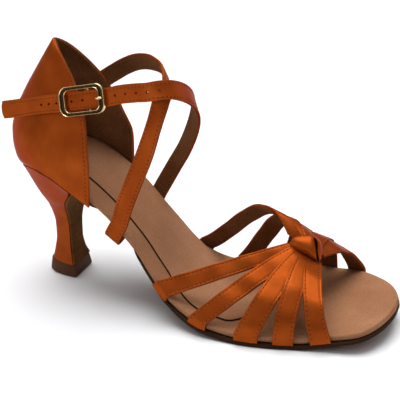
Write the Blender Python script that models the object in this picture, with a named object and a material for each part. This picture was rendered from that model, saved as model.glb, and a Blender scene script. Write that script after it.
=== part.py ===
"""Right shoe of a pair of ballroom dance sandals, with a flared heel and a knotted fan of straps.

The origin is the middle of the heel tip's floor face. +X runs to the toe, +Y to the inner (big toe)
side and +Z up, in metres. The sizes below are in millimetres and MM turns them into metres.
"""

from collections import namedtuple
from math import acos, atan2, cos, pi, radians, sin

import bmesh
import bpy
import numpy as np
from mathutils import Euler, Matrix, Vector

MM = 0.001

# The last and the sole.
INSOLE_LENGTH = 192.0
BALL_WIDTH = 81.6
SEAT_HEIGHT = 68.3
SEAT_BACK = 18.2
TOE_SPRING = 8.5
INSOLE_THICKNESS = 2.6
OUTSOLE_THICKNESS = 1.8
SOCK_THICKNESS = 0.8
CLEARANCE = 0.3

# The counter, and the seam under it where the heel's cover begins.
COUNTER_RISE = 56.1
COUNTER_LENGTH = 47.5
COUNTER_WIDTH = 53.6
COUNTER_WALL = 2.0
SEAM_DROP = 4.5
SEAM_BACK_DROP = 2.2
SEAM_GAP = 0.5

# The heel, its top piece, and the flap of the outsole on its breast.
HEEL_TIP_LENGTH = 18.7
HEEL_TIP_WIDTH = 18.4
HEEL_TIP_HEIGHT = 6.5
HEEL_TIP_CHAMFER = 0.5
BREAST_REACH = 17.3
BREAST_DROP = 2.6
FLAP_THICKNESS = 1.2
FLAP_INSET = 0.6

# The straps and the knot.
STRAP_THICKNESS = 1.6
STRAP_WIDTH = 8.7
KNOT_HEIGHT = 34.5
KNOT_LENGTH = 17.0
KNOT_WIDTH = 11.0
KNOT_THICKNESS = 12.5
NECK_STRAP_WIDTH = 8.8
NECK_REACH = 2.5
NECK_RISE = 1.6
PLEAT_HEIGHT = 0.22
FAN_FOOT = 0.1
FAN_LEAD = 0.8

# How an ankle strap comes out from under the insole: tucked in, hanging down and turned up.
ROOT_TUCK = 4.0
ROOT_HANG = 5.8
ROOT_TURN = 2.1
ROOT_EASE = 0.4
ROOT_RISE = 3.0

# The buckle, its tongue and the tab that holds it.
BUCKLE_LENGTH = 24.2
BUCKLE_HEIGHT = 14.0
BUCKLE_END_BAR = 3.2
BUCKLE_SIDE_RAIL = 1.8
BUCKLE_THICKNESS = 1.6
BUCKLE_CORNER = 3.4
BUCKLE_BEVEL = 0.45
BAR_RADIUS = 0.8
TAB_WIDTH = 7.6
TAB_THICKNESS = 1.2
TAB_LENGTH = 13.0
TAB_SLOT = 2.6
PRONG_RADIUS = 0.5
PRONG_HOLE_LENGTH = 3.8
PRONG_HOLE_WIDTH = 1.8
PRONG_HOLE_AHEAD = 3.0

LATERAL = -1
MEDIAL = 1
BASE_THICKNESS = INSOLE_THICKNESS + CLEARANCE + OUTSOLE_THICKNESS
HEEL_RISE = SEAT_HEIGHT - BASE_THICKNESS
STRAP_MARGIN = CLEARANCE + STRAP_THICKNESS
# How far the middle of a strap lies from a face that it passes.
STRAP_OFF = CLEARANCE + STRAP_THICKNESS / 2
FRAME_OFFSET = STRAP_OFF + BUCKLE_THICKNESS / 2
BAR_OFFSET = -(STRAP_OFF + CLEARANCE + TAB_THICKNESS + BAR_RADIUS)

SOLE_ROWS = 56
STRAP_ROWS = 54
FAN_ROWS = 12
HALF_SECTION = 12
CURVE_STEPS = 8


def table(names, *rows):
    """A table's rows, each with its values by name."""
    row_type = namedtuple("Row", names)
    return [row_type(*row) for row in rows]


# The sole, heel to toe. along: share of the insole's length. lateral, medial: half widths as shares
# of the ball width. rise: share of the heel rise. spring: share of the toe spring. margin: how far
# the outsole stands outside the insole, as a share of the straps' margin.
SOLE = table(
    "along lateral medial rise spring margin",
    (0.00, 0.000, 0.000, 0.950, 0.0, 0.0),
    (0.02, 0.112, 0.112, 0.975, 0.0, 0.0),
    (0.045, 0.170, 0.170, 0.990, 0.0, 0.0),
    (0.08, 0.235, 0.235, 1.000, 0.0, 0.0),
    (0.12, 0.277, 0.277, 0.983, 0.0, 0.0),
    (0.19, 0.302, 0.300, 0.882, 0.0, 0.0),
    (0.265, 0.302, 0.292, 0.728, 0.0, 0.0),
    (0.37, 0.335, 0.245, 0.458, 0.0, -0.6),
    (0.43, 0.390, 0.243, 0.273, 0.0, -0.5),
    (0.475, 0.430, 0.262, 0.153, 0.0, 0.3),
    (0.58, 0.490, 0.365, 0.027, 0.0, 1.0),
    (0.66, 0.495, 0.455, 0.000, 0.0, 1.0),
    (0.73, 0.475, 0.495, 0.000, 0.0, 1.0),
    (0.79, 0.440, 0.505, 0.000, 0.0, 1.0),
    (0.86, 0.400, 0.470, 0.000, 0.25, 1.0),
    (0.93, 0.365, 0.350, 0.000, 0.60, 0.6),
    (1.00, 0.000, 0.000, 0.000, 1.0, 0.4),
)

# The sock lining on the insole: its two edges, as shares of the ball width.
SOCK = table(
    "along lateral medial",
    (0.050, 0.060, 0.060),
    (0.075, 0.120, 0.140),
    (0.120, 0.145, 0.215),
    (0.210, 0.153, 0.265),
    (0.280, 0.167, 0.260),
    (0.355, 0.202, 0.225),
    (0.410, 0.245, 0.215),
    (0.444, 0.276, 0.215),
    (0.485, 0.340, 0.235),
    (0.520, 0.382, 0.270),
    (0.555, 0.398, 0.300),
    (0.610, 0.398, 0.320),
    (0.652, 0.314, 0.270),
    (0.672, 0.180, 0.170),
    (0.680, 0.040, 0.060),
)

# The counter's level sections, from just above the seam to the peak. over: share of the counter's
# rise above the seat. back, front: shares of its length. half: share of its width.
COUNTER = table(
    "over back front half",
    (-0.04, -0.510, 0.589, 0.500),
    (0.07, -0.535, 0.585, 0.489),
    (0.17, -0.537, 0.562, 0.455),
    (0.28, -0.509, 0.530, 0.407),
    (0.39, -0.459, 0.498, 0.366),
    (0.49, -0.396, 0.450, 0.327),
    (0.60, -0.320, 0.394, 0.291),
    (0.71, -0.238, 0.320, 0.239),
    (0.80, -0.170, 0.238, 0.198),
    (0.885, -0.105, 0.152, 0.151),
    (0.94, -0.063, 0.088, 0.110),
    (0.975, -0.036, 0.042, 0.069),
    (1.00, -0.019, 0.006, 0.022),
)
COUNTER_FRONT = 0.581 * COUNTER_LENGTH
# Where the wall has sections between the seam and the first level one: how far its plan and its
# height have gone over by then.
SEAM_EASE = table("plan rise", (0.42, 0.25), (0.80, 0.62))
# Up to this height above the insole the wall stays outside its edge, and leans in this steeply.
SEAT_EASE = 4.5
SEAT_LEAN = 0.15

# The heel's sections, from the tip to just below the seat. up: share of the heel's height at its
# back. back, front: shares of the tip's length. half: share of the tip's width. dip: how much lower
# the breast's edge lies than the back, as a share of the heel's height.
HEEL = table(
    "up back front half dip",
    (0.00, -0.410, 0.402, 0.475, 0.000),
    (0.10, -0.345, 0.322, 0.381, 0.000),
    (0.25, -0.280, 0.278, 0.326, 0.000),
    (0.40, -0.285, 0.278, 0.338, 0.000),
    (0.52, -0.350, 0.290, 0.430, 0.000),
    (0.64, -0.455, 0.340, 0.610, 0.000),
    (0.76, -0.615, 0.480, 0.890, 0.010),
    (0.88, -0.800, 0.700, 1.110, 0.020),
)
# The top piece's sections and how square its back is.
TIP = table("up size", (0.0, 0.97), (HEEL_TIP_CHAMFER, 1.0), (HEEL_TIP_HEIGHT, 0.90))
TIP_SQUARENESS = 0.8

# The two ankle straps over the foot. along and across: shares of the insole's length and of the
# ball width. over: share of the counter's rise above the insole there. turn and tilt: where the
# strap's front edge points, in degrees.
FOOT_COLUMNS = "along across over turn tilt"
CROSS_OVER_FOOT = table(
    FOOT_COLUMNS,
    (0.341, -0.337, 0.28, -4, -21),
    (0.367, -0.329, 0.59, -8, -20),
    (0.392, -0.312, 0.90, -10, -19),
    (0.413, -0.282, 1.23, -22, -15),
    (0.425, -0.239, 1.47, -12, -16),
    (0.425, -0.188, 1.585, 24, -27),
    (0.413, -0.117, 1.61, 58, -43),
    (0.384, -0.045, 1.53, 85, -55),
    (0.345, 0.030, 1.395, 105, -57),
    (0.301, 0.095, 1.225, 98, -62),
)
BUCKLE_OVER_FOOT = table(
    FOOT_COLUMNS,
    (0.370, 0.273, 0.430, -20, -26),
    (0.403, 0.251, 0.741, -25, -29),
    (0.432, 0.208, 1.057, -28, -33),
    (0.452, 0.135, 1.304, -38, -39),
    (0.461, 0.049, 1.472, -54, -46),
    (0.464, -0.049, 1.575, -60, -57),
    (0.460, -0.150, 1.638, -71, -63),
    (0.450, -0.240, 1.656, -79, -73),
    (0.428, -0.280, 1.587, -60, -79),
    (0.398, -0.282, 1.454, -40, -76),
)
# The same straps beside the counter, as shares of its length, width and rise above the seat. The
# buckle sits at the fourth row of its strap.
COUNTER_COLUMNS = "reach beside up turn tilt"
CROSS_AT_COUNTER = table(
    COUNTER_COLUMNS,
    (0.656, 0.225, 0.745, 70, -66),
    (0.486, 0.282, 0.654, 15, -60),
    (0.377, 0.298, 0.594, -5, -56),
    (0.312, 0.301, 0.564, -5, -56),
)
BUCKLE_AT_COUNTER = table(
    COUNTER_COLUMNS,
    (1.096, -0.411, 0.720, -40, -74),
    (0.918, -0.388, 0.684, -45, -72),
    (0.789, -0.373, 0.646, -50, -70),
    (0.518, -0.373, 0.594, -50, -70),
    (0.264, -0.364, 0.545, -50, -70),
    (0.005, -0.346, 0.496, -50, -70),
    (-0.242, -0.326, 0.441, -50, -70),
    (-0.460, -0.308, 0.396, -50, -70),
)
BUCKLE_ROW = 3

# Where they leave the sole's edge: share of its length, side, and the strap's lean in degrees.
ROOTS = table("along side lean", (0.313, LATERAL, 27), (0.316, MEDIAL, 27))
CROSS_ROOT, BUCKLE_ROOT = ROOTS

# The fan. rear and front are the base's ends on the sole's edge, bow is how far the strap arches
# (0 straight, 1 a quarter ellipse), crest its extra height as a share of the knot's height, and
# neck its place along the knot.
FAN = table(
    "side rear front bow crest neck",
    (LATERAL, 0.438, 0.474, 0.20, 0.00, 0.22),
    (LATERAL, 0.536, 0.581, 0.60, 0.00, 0.37),
    (LATERAL, 0.651, 0.709, 0.85, 0.00, 0.49),
    (LATERAL, 0.743, 0.791, 1.00, 0.00, 0.63),
    (LATERAL, 0.827, 0.875, 1.00, 0.00, 0.77),
    (MEDIAL, 0.447, 0.483, 0.90, 0.35, 0.14),
    (MEDIAL, 0.545, 0.590, 0.95, 0.27, 0.28),
    (MEDIAL, 0.650, 0.698, 1.00, 0.12, 0.44),
    (MEDIAL, 0.752, 0.803, 0.90, 0.04, 0.62),
    (MEDIAL, 0.833, 0.881, 0.80, 0.00, 0.80),
)
# The neck, where the straps run under the knot, and the knot: shares of the insole's length, of the
# ball width and of the knot's height. The knot dips to the toe by this many degrees.
NECK = table("along across up", (0.726, 0.000, 1.00), (0.805, 0.000, 0.84))
KNOT_ALONG, KNOT_ACROSS, KNOT_UP = 0.764, -0.012, 0.965
KNOT_DIP = 22


def fair(xs, ys, x):
    """A smooth curve through points that never swings past them (a monotone cubic)."""
    step = np.diff(xs)
    slope = np.diff(ys) / step
    rate = np.zeros(len(xs))
    rate[0], rate[-1] = slope[0], slope[-1]
    for i in range(1, len(xs) - 1):
        if slope[i - 1] * slope[i] > 0:
            before, after = 2 * step[i] + step[i - 1], step[i] + 2 * step[i - 1]
            rate[i] = (before + after) / (before / slope[i - 1] + after / slope[i])
    i = int(np.clip(np.searchsorted(xs, x) - 1, 0, len(xs) - 2))
    t = min(max((x - xs[i]) / step[i], 0.0), 1.0)
    rise = ys[i + 1] - ys[i]
    start, end = rate[i] * step[i], rate[i + 1] * step[i]
    return ys[i] + t * start + t * t * (3 * rise - 2 * start - end) + t**3 * (start + end - 2 * rise)


def read(rows, name, along, spread=float):
    """A column of a table at a share of the length, along a fair curve."""
    places = np.array([spread(row.along) for row in rows])
    values = np.array([getattr(row, name) for row in rows])
    return fair(places, values, spread(along))


def round_share(along):
    """Spreads the shares near both ends of the sole, so that its ends come out round."""
    return acos(1 - 2 * min(max(along, 0.0), 1.0))


def half_width(along, side):
    """The insole's half width in mm on one side of the centre line."""
    return BALL_WIDTH * read(SOLE, "lateral" if side == LATERAL else "medial", along, round_share)


def along_to_x(along):
    return along * INSOLE_LENGTH - SEAT_BACK


def x_to_along(x):
    return (x + SEAT_BACK) / INSOLE_LENGTH


def edge_frame(along, side):
    """A point of the insole's edge in plan, and the direction straight out of it."""
    turn, step = round_share(along), 0.01
    places = []
    for angle in (max(turn - step, 0.0), turn, min(turn + step, pi)):
        share = (1 - cos(angle)) / 2
        places.append(Vector((along_to_x(share), side * half_width(share, side), 0)))
    tangent = (places[2] - places[0]).normalized()
    return places[1], Vector((tangent.y, -tangent.x, 0)) * -side


def insole_top(along):
    """The height of the insole's top face above the floor."""
    rise, spring = read(SOLE, "rise", along), read(SOLE, "spring", along)
    return BASE_THICKNESS + HEEL_RISE * rise + TOE_SPRING * spring


def sole_slope(along):
    """How steeply the insole rises to the toe there."""
    step = 0.003
    ahead, behind = min(along + step, 1.0), max(along - step, 0.0)
    return (insole_top(ahead) - insole_top(behind)) / ((ahead - behind) * INSOLE_LENGTH)


def sole_point(along, depth):
    """x and z at a depth below the insole's top face, measured square to it."""
    slope = sole_slope(along)
    length = (1 + slope**2) ** 0.5
    return along_to_x(along) + depth * slope / length, insole_top(along) - depth / length


def below_insole(along, depth):
    """The height straight under a point of the insole's top face, at a depth square to it."""
    return insole_top(along) - depth * (1 + sole_slope(along) ** 2) ** 0.5


def sole_stations(start, end):
    """The shares of the length where every layer of the sole has a section, between two ends."""
    near = 0.003
    turned = [(1 - cos(pi * i / (SOLE_ROWS - 1))) / 2 for i in range(SOLE_ROWS)]
    return [start, *[share for share in turned if start + near < share < end - near], end]


def under_board(along):
    """The height of what lies under the insole, with the clearance."""
    return below_insole(along, INSOLE_THICKNESS + CLEARANCE)


def seam_height(along):
    """Where the counter ends and the heel begins, lowest at the very back."""
    return insole_top(along) - SEAM_DROP - SEAM_BACK_DROP * max(0.0, 1 - 10 * along) ** 2


def rim_height(along):
    return seam_height(along) - SEAM_GAP


def new_object(name, bm, collection, smooth=35):
    mesh = bpy.data.meshes.new(name)
    bmesh.ops.recalc_face_normals(bm, faces=bm.faces)
    bm.to_mesh(mesh)
    bm.free()
    mesh.shade_smooth()
    mesh.set_sharp_from_angle(angle=radians(smooth))
    obj = bpy.data.objects.new(name, mesh)
    collection.objects.link(obj)
    return obj


def loft(name, rings, collection, smooth=35, strip_caps=False):
    """A closed solid through rings of points in mm, each ring with the same number of points."""
    bm = bmesh.new()
    rows = [[bm.verts.new(Vector(point) * MM) for point in ring] for ring in rings]
    count = len(rows[0])
    for lower, upper in zip(rows, rows[1:]):
        for i in range(count):
            j = (i + 1) % count
            bm.faces.new((lower[i], lower[j], upper[j], upper[i]))
    for row in (rows[0], rows[-1]):
        if strip_caps:
            for i in range(count // 2 - 1):
                bm.faces.new((row[i], row[i + 1], row[count - 2 - i], row[count - 1 - i]))
            if count % 2:
                bm.faces.new((row[count // 2 - 1], row[count // 2], row[count // 2 + 1]))
        else:
            bm.faces.new(row)
    return new_object(name, bm, collection, smooth)


def sheet_ring(along, top, bottom, lateral, medial):
    """A four-sided cross section of a sole layer between two depths and two half widths."""
    (x_top, z_top), (x_low, z_low) = sole_point(along, top), sole_point(along, bottom)
    least = 0.6
    outer, inner = -max(lateral, least), max(medial, least)
    return [(x_top, outer, z_top), (x_top, inner, z_top), (x_low, inner, z_low), (x_low, outer, z_low)]


def build_insole(collection):
    rings = []
    for along in sole_stations(0.002, 0.998):
        halves = half_width(along, LATERAL), half_width(along, MEDIAL)
        rings.append(sheet_ring(along, 0.0, INSOLE_THICKNESS, *halves))
    return loft("insole", rings, collection)


def build_sock(collection):
    """The rear sock lining: a narrower sheet on the insole, with a curved front end."""
    rings = []
    for along in sole_stations(SOCK[0].along, SOCK[-1].along):
        halves = [BALL_WIDTH * read(SOCK, name, along) for name in ("lateral", "medial")]
        rings.append(sheet_ring(along, -CLEARANCE - SOCK_THICKNESS, -CLEARANCE, *halves))
    return loft("sock", rings, collection)


def outsole_half(along, side):
    """The outsole's half width: it steps in where an ankle strap is tucked under the insole."""
    root = CROSS_ROOT if side == LATERAL else BUCKLE_ROOT
    reach = (along - root.along) * INSOLE_LENGTH / STRAP_WIDTH
    recess = (ROOT_TUCK + STRAP_THICKNESS + STRAP_OFF) * np.exp(-(reach**4) / 2)
    return half_width(along, side) + STRAP_MARGIN * read(SOLE, "margin", along) - recess


def build_outsole(collection):
    """The suede sole from the toe to the shank, and its flap down the heel's breast."""
    top = INSOLE_THICKNESS + CLEARANCE
    bend = 0.02
    rings = []
    for along in sole_stations(x_to_along(BREAST_REACH) + bend, 0.9985)[::-1]:
        halves = outsole_half(along, LATERAL), outsole_half(along, MEDIAL)
        rings.append(sheet_ring(along, top, top + OUTSOLE_THICKNESS, *halves))
    for x, z, half, turn in breast_rows():
        normal = Vector((cos(turn), 0, sin(turn)))
        inner = Vector((x, 0, z)) + normal * CLEARANCE
        outer = inner + normal * FLAP_THICKNESS
        rings.append([(p.x, y, p.z) for p, y in ((inner, -half), (inner, half), (outer, half), (outer, -half))])
    return loft("outsole", rings, collection, smooth=50)


def heel_sections():
    """The heel's level sections: back, front, half width, heights at back and front, in mm."""
    base = HEEL_TIP_HEIGHT + CLEARANCE
    height = rim_height(0.0) - base
    for row in HEEL:
        plan = row.back * HEEL_TIP_LENGTH, row.front * HEEL_TIP_LENGTH, row.half * HEEL_TIP_WIDTH
        yield *plan, base + row.up * height, base + (row.up - row.dip) * height


def breast_rows():
    """The breast's centre line from the seat down to the tip: x, z, half width, facing angle."""
    along = x_to_along(BREAST_REACH)
    line = [(BREAST_REACH, under_board(along) - BREAST_DROP, half_width(along, LATERAL) - FLAP_INSET)]
    line += [(front, low, half) for back, front, half, high, low in list(heel_sections())[::-1]]
    for i, (x, z, half) in enumerate(line):
        before, after = line[max(i - 1, 0)], line[min(i + 1, len(line) - 1)]
        yield x, z, half, -atan2(before[0] - after[0], before[1] - after[1])


def half_angles():
    """Angles round a horseshoe section, from the lateral front corner to the medial one."""
    return [pi / 2 * (i / HALF_SECTION - 1) for i in range(2 * HALF_SECTION + 1)]


def seat_ring(front, outside, height):
    """The insole's outline round the heel, so far outside it, at the height for each share."""
    ring = []
    for angle in half_angles():
        along = x_to_along(front - (front + SEAT_BACK) * cos(angle))
        edge, out = edge_frame(along, LATERAL if angle < 0 else MEDIAL)
        point = edge + out * outside if angle else Vector((-SEAT_BACK - outside, 0, 0))
        ring.append((point.x, point.y, height(along)))
    return ring


def build_heel(collection):
    """The flared heel: D-shaped sections that open out into the seat."""
    rings = []
    for back, front, half, high, low in heel_sections():
        ring = []
        for angle in half_angles():
            x = front - (front - back) * cos(angle)
            ring.append((x, half * sin(angle), high + (low - high) * (x - back) / (front - back)))
        rings.append(ring)
    rings.append(seat_ring(BREAST_REACH, SEAM_GAP + COUNTER_WALL, rim_height))
    rings.append(seat_ring(BREAST_REACH, -CLEARANCE, rim_height))
    rings.append(seat_ring(BREAST_REACH, -CLEARANCE, under_board))
    return loft("heel_block", rings, collection, smooth=40, strip_caps=True)


def build_heel_tip(collection):
    """The top piece, with the flat that stands on the floor."""
    rings = []
    for row in TIP:
        length, half = HEEL_TIP_LENGTH * row.size, HEEL_TIP_WIDTH / 2 * row.size
        rings.append(
            [(length / 2 - length * cos(a) ** TIP_SQUARENESS, half * sin(a), row.up) for a in half_angles()]
        )
    return loft("heel_tip", rings, collection, smooth=40, strip_caps=True)


def clear_of_insole(point, outside):
    """Moves a low point of the counter's wall out sideways, so far outside the insole's edge."""
    x, y, z = point
    along = x_to_along(x)
    above = z - insole_top(along)
    if along <= 0 or above > SEAT_EASE:
        return point
    side = MEDIAL if y > 0 else LATERAL
    reach = half_width(along, side) + outside - SEAT_LEAN * max(above, 0.0)
    return x, side * max(abs(y), reach), z


def counter_ring(row, wall):
    """One level section of the counter, so far inside its outer face."""
    back, front = row.back * COUNTER_LENGTH, row.front * COUNTER_LENGTH
    least = 0.2
    depth = max(front - back - wall, least * (front - back))
    reach = max(row.half * COUNTER_WIDTH - wall, least * row.half * COUNTER_WIDTH)
    height = SEAT_HEIGHT + row.over * COUNTER_RISE
    return [(front - depth * cos(a), reach * sin(a), height) for a in half_angles()]


def build_counter(collection):
    """The closed back of the upper: a hollow wall, open at the top and the front."""
    faces = []
    for wall in (0.0, COUNTER_WALL):
        outside = SEAM_GAP + COUNTER_WALL - wall
        seam = seat_ring(COUNTER_FRONT, outside, seam_height)
        first = counter_ring(COUNTER[0], wall)
        rings = [seam]
        for row in SEAM_EASE:
            share = (row.plan, row.plan, row.rise)
            rings.append([[a + (b - a) * s for a, b, s in zip(p, q, share)] for p, q in zip(seam, first)])
        rings += [counter_ring(row, wall) for row in COUNTER]
        faces.append([[clear_of_insole(point, outside) for point in ring] for ring in rings])
    rings = [outer + inner[::-1] for outer, inner in zip(*faces)]
    return loft("upper_counter", rings, collection, smooth=50, strip_caps=True)


def edge_direction(row):
    """Where the strap's front edge points."""
    turn, tilt = radians(row.turn), radians(row.tilt)
    return Vector((cos(turn) * cos(tilt), sin(turn) * cos(tilt), sin(tilt)))


def foot_point(row):
    height = insole_top(row.along) + row.over * COUNTER_RISE
    return Vector((along_to_x(row.along), row.across * BALL_WIDTH, height))


def counter_point(row):
    height = SEAT_HEIGHT + row.up * COUNTER_RISE
    return Vector((row.reach * COUNTER_LENGTH, row.beside * COUNTER_WIDTH, height))


def root_points(root):
    """The tucked end of an ankle strap: from under the insole, down, round and up past its edge."""
    edge_point, out = edge_frame(root.along, root.side)
    lean, slope = radians(root.lean), sole_slope(root.along)
    up = Vector((sin(lean), 0, cos(lean)))
    front = Vector((cos(lean), -cos(lean) * out.x / out.y, -sin(lean))).normalized()
    flat = Vector((1, -out.x / out.y, slope)).normalized()
    start = Vector((*edge_point.xy, below_insole(root.along, INSOLE_THICKNESS)))
    outside = STRAP_OFF + ROOT_EASE
    lines = (
        (-ROOT_TUCK, -STRAP_OFF - 2 * ROOT_EASE, flat),
        (-ROOT_TUCK + ROOT_EASE, ROOT_TURN - ROOT_HANG, flat),
        (outside - ROOT_TURN, -ROOT_HANG, (flat + front).normalized()),
        (outside, ROOT_TURN - ROOT_HANG, front),
        (outside, 0.0, front),
        (outside, INSOLE_THICKNESS + ROOT_RISE, front),
    )
    return [start + out * reach + up * rise for reach, rise, _ in lines], [edge for _, _, edge in lines]


def smooth_path(points, count):
    """Evenly spaced points on a Catmull-Rom curve through the given ones, and their places on it."""
    chain = [2 * points[0] - points[1], *points, 2 * points[-1] - points[-2]]
    fine = []
    for before, start, end, after in zip(chain, chain[1:], chain[2:], chain[3:]):
        bend = 2 * before - 5 * start + 4 * end - after
        twist = 3 * start - before - 3 * end + after
        for i in range(CURVE_STEPS):
            t = i / CURVE_STEPS
            fine.append(0.5 * (2 * start + (end - before) * t + bend * t**2 + twist * t**3))
    fine.append(chain[-2])
    length = np.concatenate([[0], np.cumsum([(b - a).length for a, b in zip(fine, fine[1:])])])
    marks = np.linspace(0, length[-1], count)
    axes = [np.interp(marks, length, [point[axis] for point in fine]) for axis in range(3)]
    places = np.interp(marks, length, np.linspace(0, len(points) - 1, len(fine)))
    return [Vector(point) for point in zip(*axes)], places


def build_strap(name, root, over_foot, at_counter, collection):
    """A strap of even width from its root at the sole, over the foot and on beside the counter."""
    points, edges = root_points(root)
    points += [foot_point(row) for row in over_foot] + [counter_point(row) for row in at_counter]
    edges += [edge_direction(row) for row in over_foot + at_counter]
    path, places = smooth_path(points, STRAP_ROWS)
    rings = []
    for i, (point, place) in enumerate(zip(path, places)):
        tangent = (path[min(i + 1, STRAP_ROWS - 1)] - path[max(i - 1, 0)]).normalized()
        k = min(int(place), len(edges) - 2)
        edge = edges[k].lerp(edges[k + 1], place - k)
        edge = (edge - tangent * edge.dot(tangent)).normalized()
        half, depth = edge * STRAP_WIDTH / 2, tangent.cross(edge) * STRAP_THICKNESS / 2
        rings.append([point + half + depth, point + half - depth, point - half - depth, point - half + depth])
    return loft(name, rings, collection, smooth=50)


def neck_point(share, side, lift):
    """A point of the neck under the knot, from its rear (0) to its front (1)."""
    rear, front = NECK
    along, across, up = (a + (b - a) * share for a, b in zip(rear, front))
    lift += NECK_RISE if side == MEDIAL else 0.0
    return Vector((along_to_x(along), across * BALL_WIDTH + side * NECK_REACH, up * KNOT_HEIGHT + lift))


def base_points(along, side):
    """The middle of a strap's wall beside the insole, at its foot and just above the insole."""
    edge, out = edge_frame(along, side)
    place = edge + out * STRAP_OFF
    points = []
    for depth in (INSOLE_THICKNESS - FAN_FOOT, -FAN_LEAD):
        x, z = sole_point(along, depth)
        points.append(Vector((place.x + x - along_to_x(along), place.y, z)))
    return points


def fan_rail(base, top, bow, crest, t):
    """A point on one edge of a fan strap: between a straight line and a quarter ellipse."""
    angle = t * pi / 2
    arch = Vector((t, 1 - cos(angle), sin(angle)))
    span = top - base
    point = base.lerp(top, t).lerp(base + Vector([a * s for a, s in zip(arch, span)]), bow)
    # The hump is 1 high at its highest, two thirds of the way.
    hump = 27 / 4 * t * t * (1 - t)
    point.z += crest * KNOT_HEIGHT * hump
    return point


def build_fan_strap(name, row, lift, collection):
    """One strap of the fan: up past the insole's edge, then over to the neck."""
    spread = NECK_STRAP_WIDTH / 2 / ((NECK[1].along - NECK[0].along) * INSOLE_LENGTH)
    middle = (row.rear + row.front) / 2
    steps = [i / FAN_ROWS for i in range(1, FAN_ROWS + 1)]
    rails = []
    for along, place in ((row.rear, row.neck - spread), (middle, row.neck), (row.front, row.neck + spread)):
        foot, head = base_points(along, row.side)
        top = neck_point(place, row.side, lift)
        rails.append([foot, head] + [fan_rail(head, top, row.bow, row.crest, t) for t in steps])
    out = edge_frame(middle, row.side)[1]
    rings = []
    for i, (back, centre, fore) in enumerate(zip(*rails)):
        run = rails[1][min(i + 1, FAN_ROWS + 1)] - rails[1][max(i - 1, 0)]
        normal = run.cross(fore - back).normalized() if i else out
        if normal.dot(out) < 0 and normal.z < 0:
            normal = -normal
        depth = normal * STRAP_THICKNESS / 2
        rings.append([p + depth for p in (back, centre, fore)] + [p - depth for p in (fore, centre, back)])
    return loft(name, rings, collection, smooth=50)


def build_knot(name, collection):
    bm = bmesh.new()
    bmesh.ops.create_uvsphere(bm, u_segments=20, v_segments=12, radius=0.5)
    centre = Vector((along_to_x(KNOT_ALONG), KNOT_ACROSS * BALL_WIDTH, KNOT_UP * KNOT_HEIGHT))
    place = Matrix.Translation(centre * MM) @ Euler((0, radians(KNOT_DIP), 0)).to_matrix().to_4x4()
    sizes = [size * MM for size in (KNOT_LENGTH, KNOT_WIDTH, KNOT_THICKNESS)]
    place @= Matrix.Diagonal((*sizes, 1))
    bmesh.ops.transform(bm, matrix=place, verts=bm.verts)
    return new_object(name, bm, collection)


def build_vamp(collection, cutters):
    """Ten straps joined in one piece by the knot over the toes."""
    vamp = build_knot("upper_vamp", collection)
    for i, row in enumerate(FAN):
        # The middle strap of each side lies on the knot's line, and the others lie in pleats.
        pleat = PLEAT_HEIGHT * (i % 5 - 2)
        combine(vamp, build_fan_strap(f"fan_strap_{i}", row, pleat, cutters), "UNION")
    return vamp


def combine(target, other, operation):
    """Joins or cuts with another mesh, which is then only a guide."""
    other.hide_render = True
    other.display_type = "WIRE"
    modifier = target.modifiers.new(other.name, "BOOLEAN")
    modifier.operation = operation
    modifier.object = other
    modifier.solver = "EXACT"


def buckle_matrix(offset=0.0):
    """Local x to the toe, y up, z outwards, in metres, so far outside the strap's middle."""
    rear, centre, front = (counter_point(BUCKLE_AT_COUNTER[BUCKLE_ROW + i]) for i in (1, 0, -1))
    ahead = (front - rear).normalized()
    down = edge_direction(BUCKLE_AT_COUNTER[BUCKLE_ROW])
    down = (down - ahead * down.dot(ahead)).normalized()
    outward = ahead.cross(-down)
    place = Matrix((ahead, -down, outward)).transposed().to_4x4()
    place.translation = (centre + outward * offset) * MM
    return place


def rounded_outline(width, height, radius, steps=5):
    points = []
    for corner, (sx, sy) in enumerate(((1, 1), (-1, 1), (-1, -1), (1, -1))):
        for i in range(steps + 1):
            angle = pi / 2 * (corner + i / steps)
            points.append(
                (sx * (width / 2 - radius) + radius * cos(angle), sy * (height / 2 - radius) + radius * sin(angle))
            )
    return points


def build_buckle_frame(collection, cutters):
    """A rounded frame in front of the strap, with a bar that passes behind it."""
    window = BUCKLE_LENGTH - 2 * BUCKLE_END_BAR, BUCKLE_HEIGHT - 2 * BUCKLE_SIDE_RAIL
    face = BUCKLE_LENGTH - 2 * BUCKLE_BEVEL, BUCKLE_HEIGHT - 2 * BUCKLE_BEVEL
    outer = rounded_outline(BUCKLE_LENGTH, BUCKLE_HEIGHT, BUCKLE_CORNER)
    bevel = rounded_outline(*face, BUCKLE_CORNER - BUCKLE_BEVEL)
    inner = rounded_outline(*window, BUCKLE_CORNER - BUCKLE_SIDE_RAIL)
    half = BUCKLE_THICKNESS / 2
    bm = bmesh.new()
    rows = []
    for o, b, i in zip(outer, bevel, inner):
        section = (*o, -half), (*o, half - BUCKLE_BEVEL), (*b, half), (*i, half), (*i, -half)
        rows.append([bm.verts.new(Vector(point) * MM) for point in section])
    for lower, upper in zip(rows, rows[1:] + rows[:1]):
        for i in range(len(lower)):
            bm.faces.new((lower[i], lower[i - 1], upper[i - 1], upper[i]))
    bm.transform(buckle_matrix(FRAME_OFFSET))
    frame = new_object("buckle_frame", bm, collection)
    leg = BUCKLE_HEIGHT / 2 - BUCKLE_SIDE_RAIL / 2
    points = [(0, leg, FRAME_OFFSET), (0, leg, BAR_OFFSET + BAR_RADIUS * 1.5), (0, leg - BAR_RADIUS, BAR_OFFSET)]
    points += [(x, -y, z) for x, y, z in points[::-1]]
    combine(frame, tube("buckle_bar", points, BAR_RADIUS, cutters), "UNION")
    return frame


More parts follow.
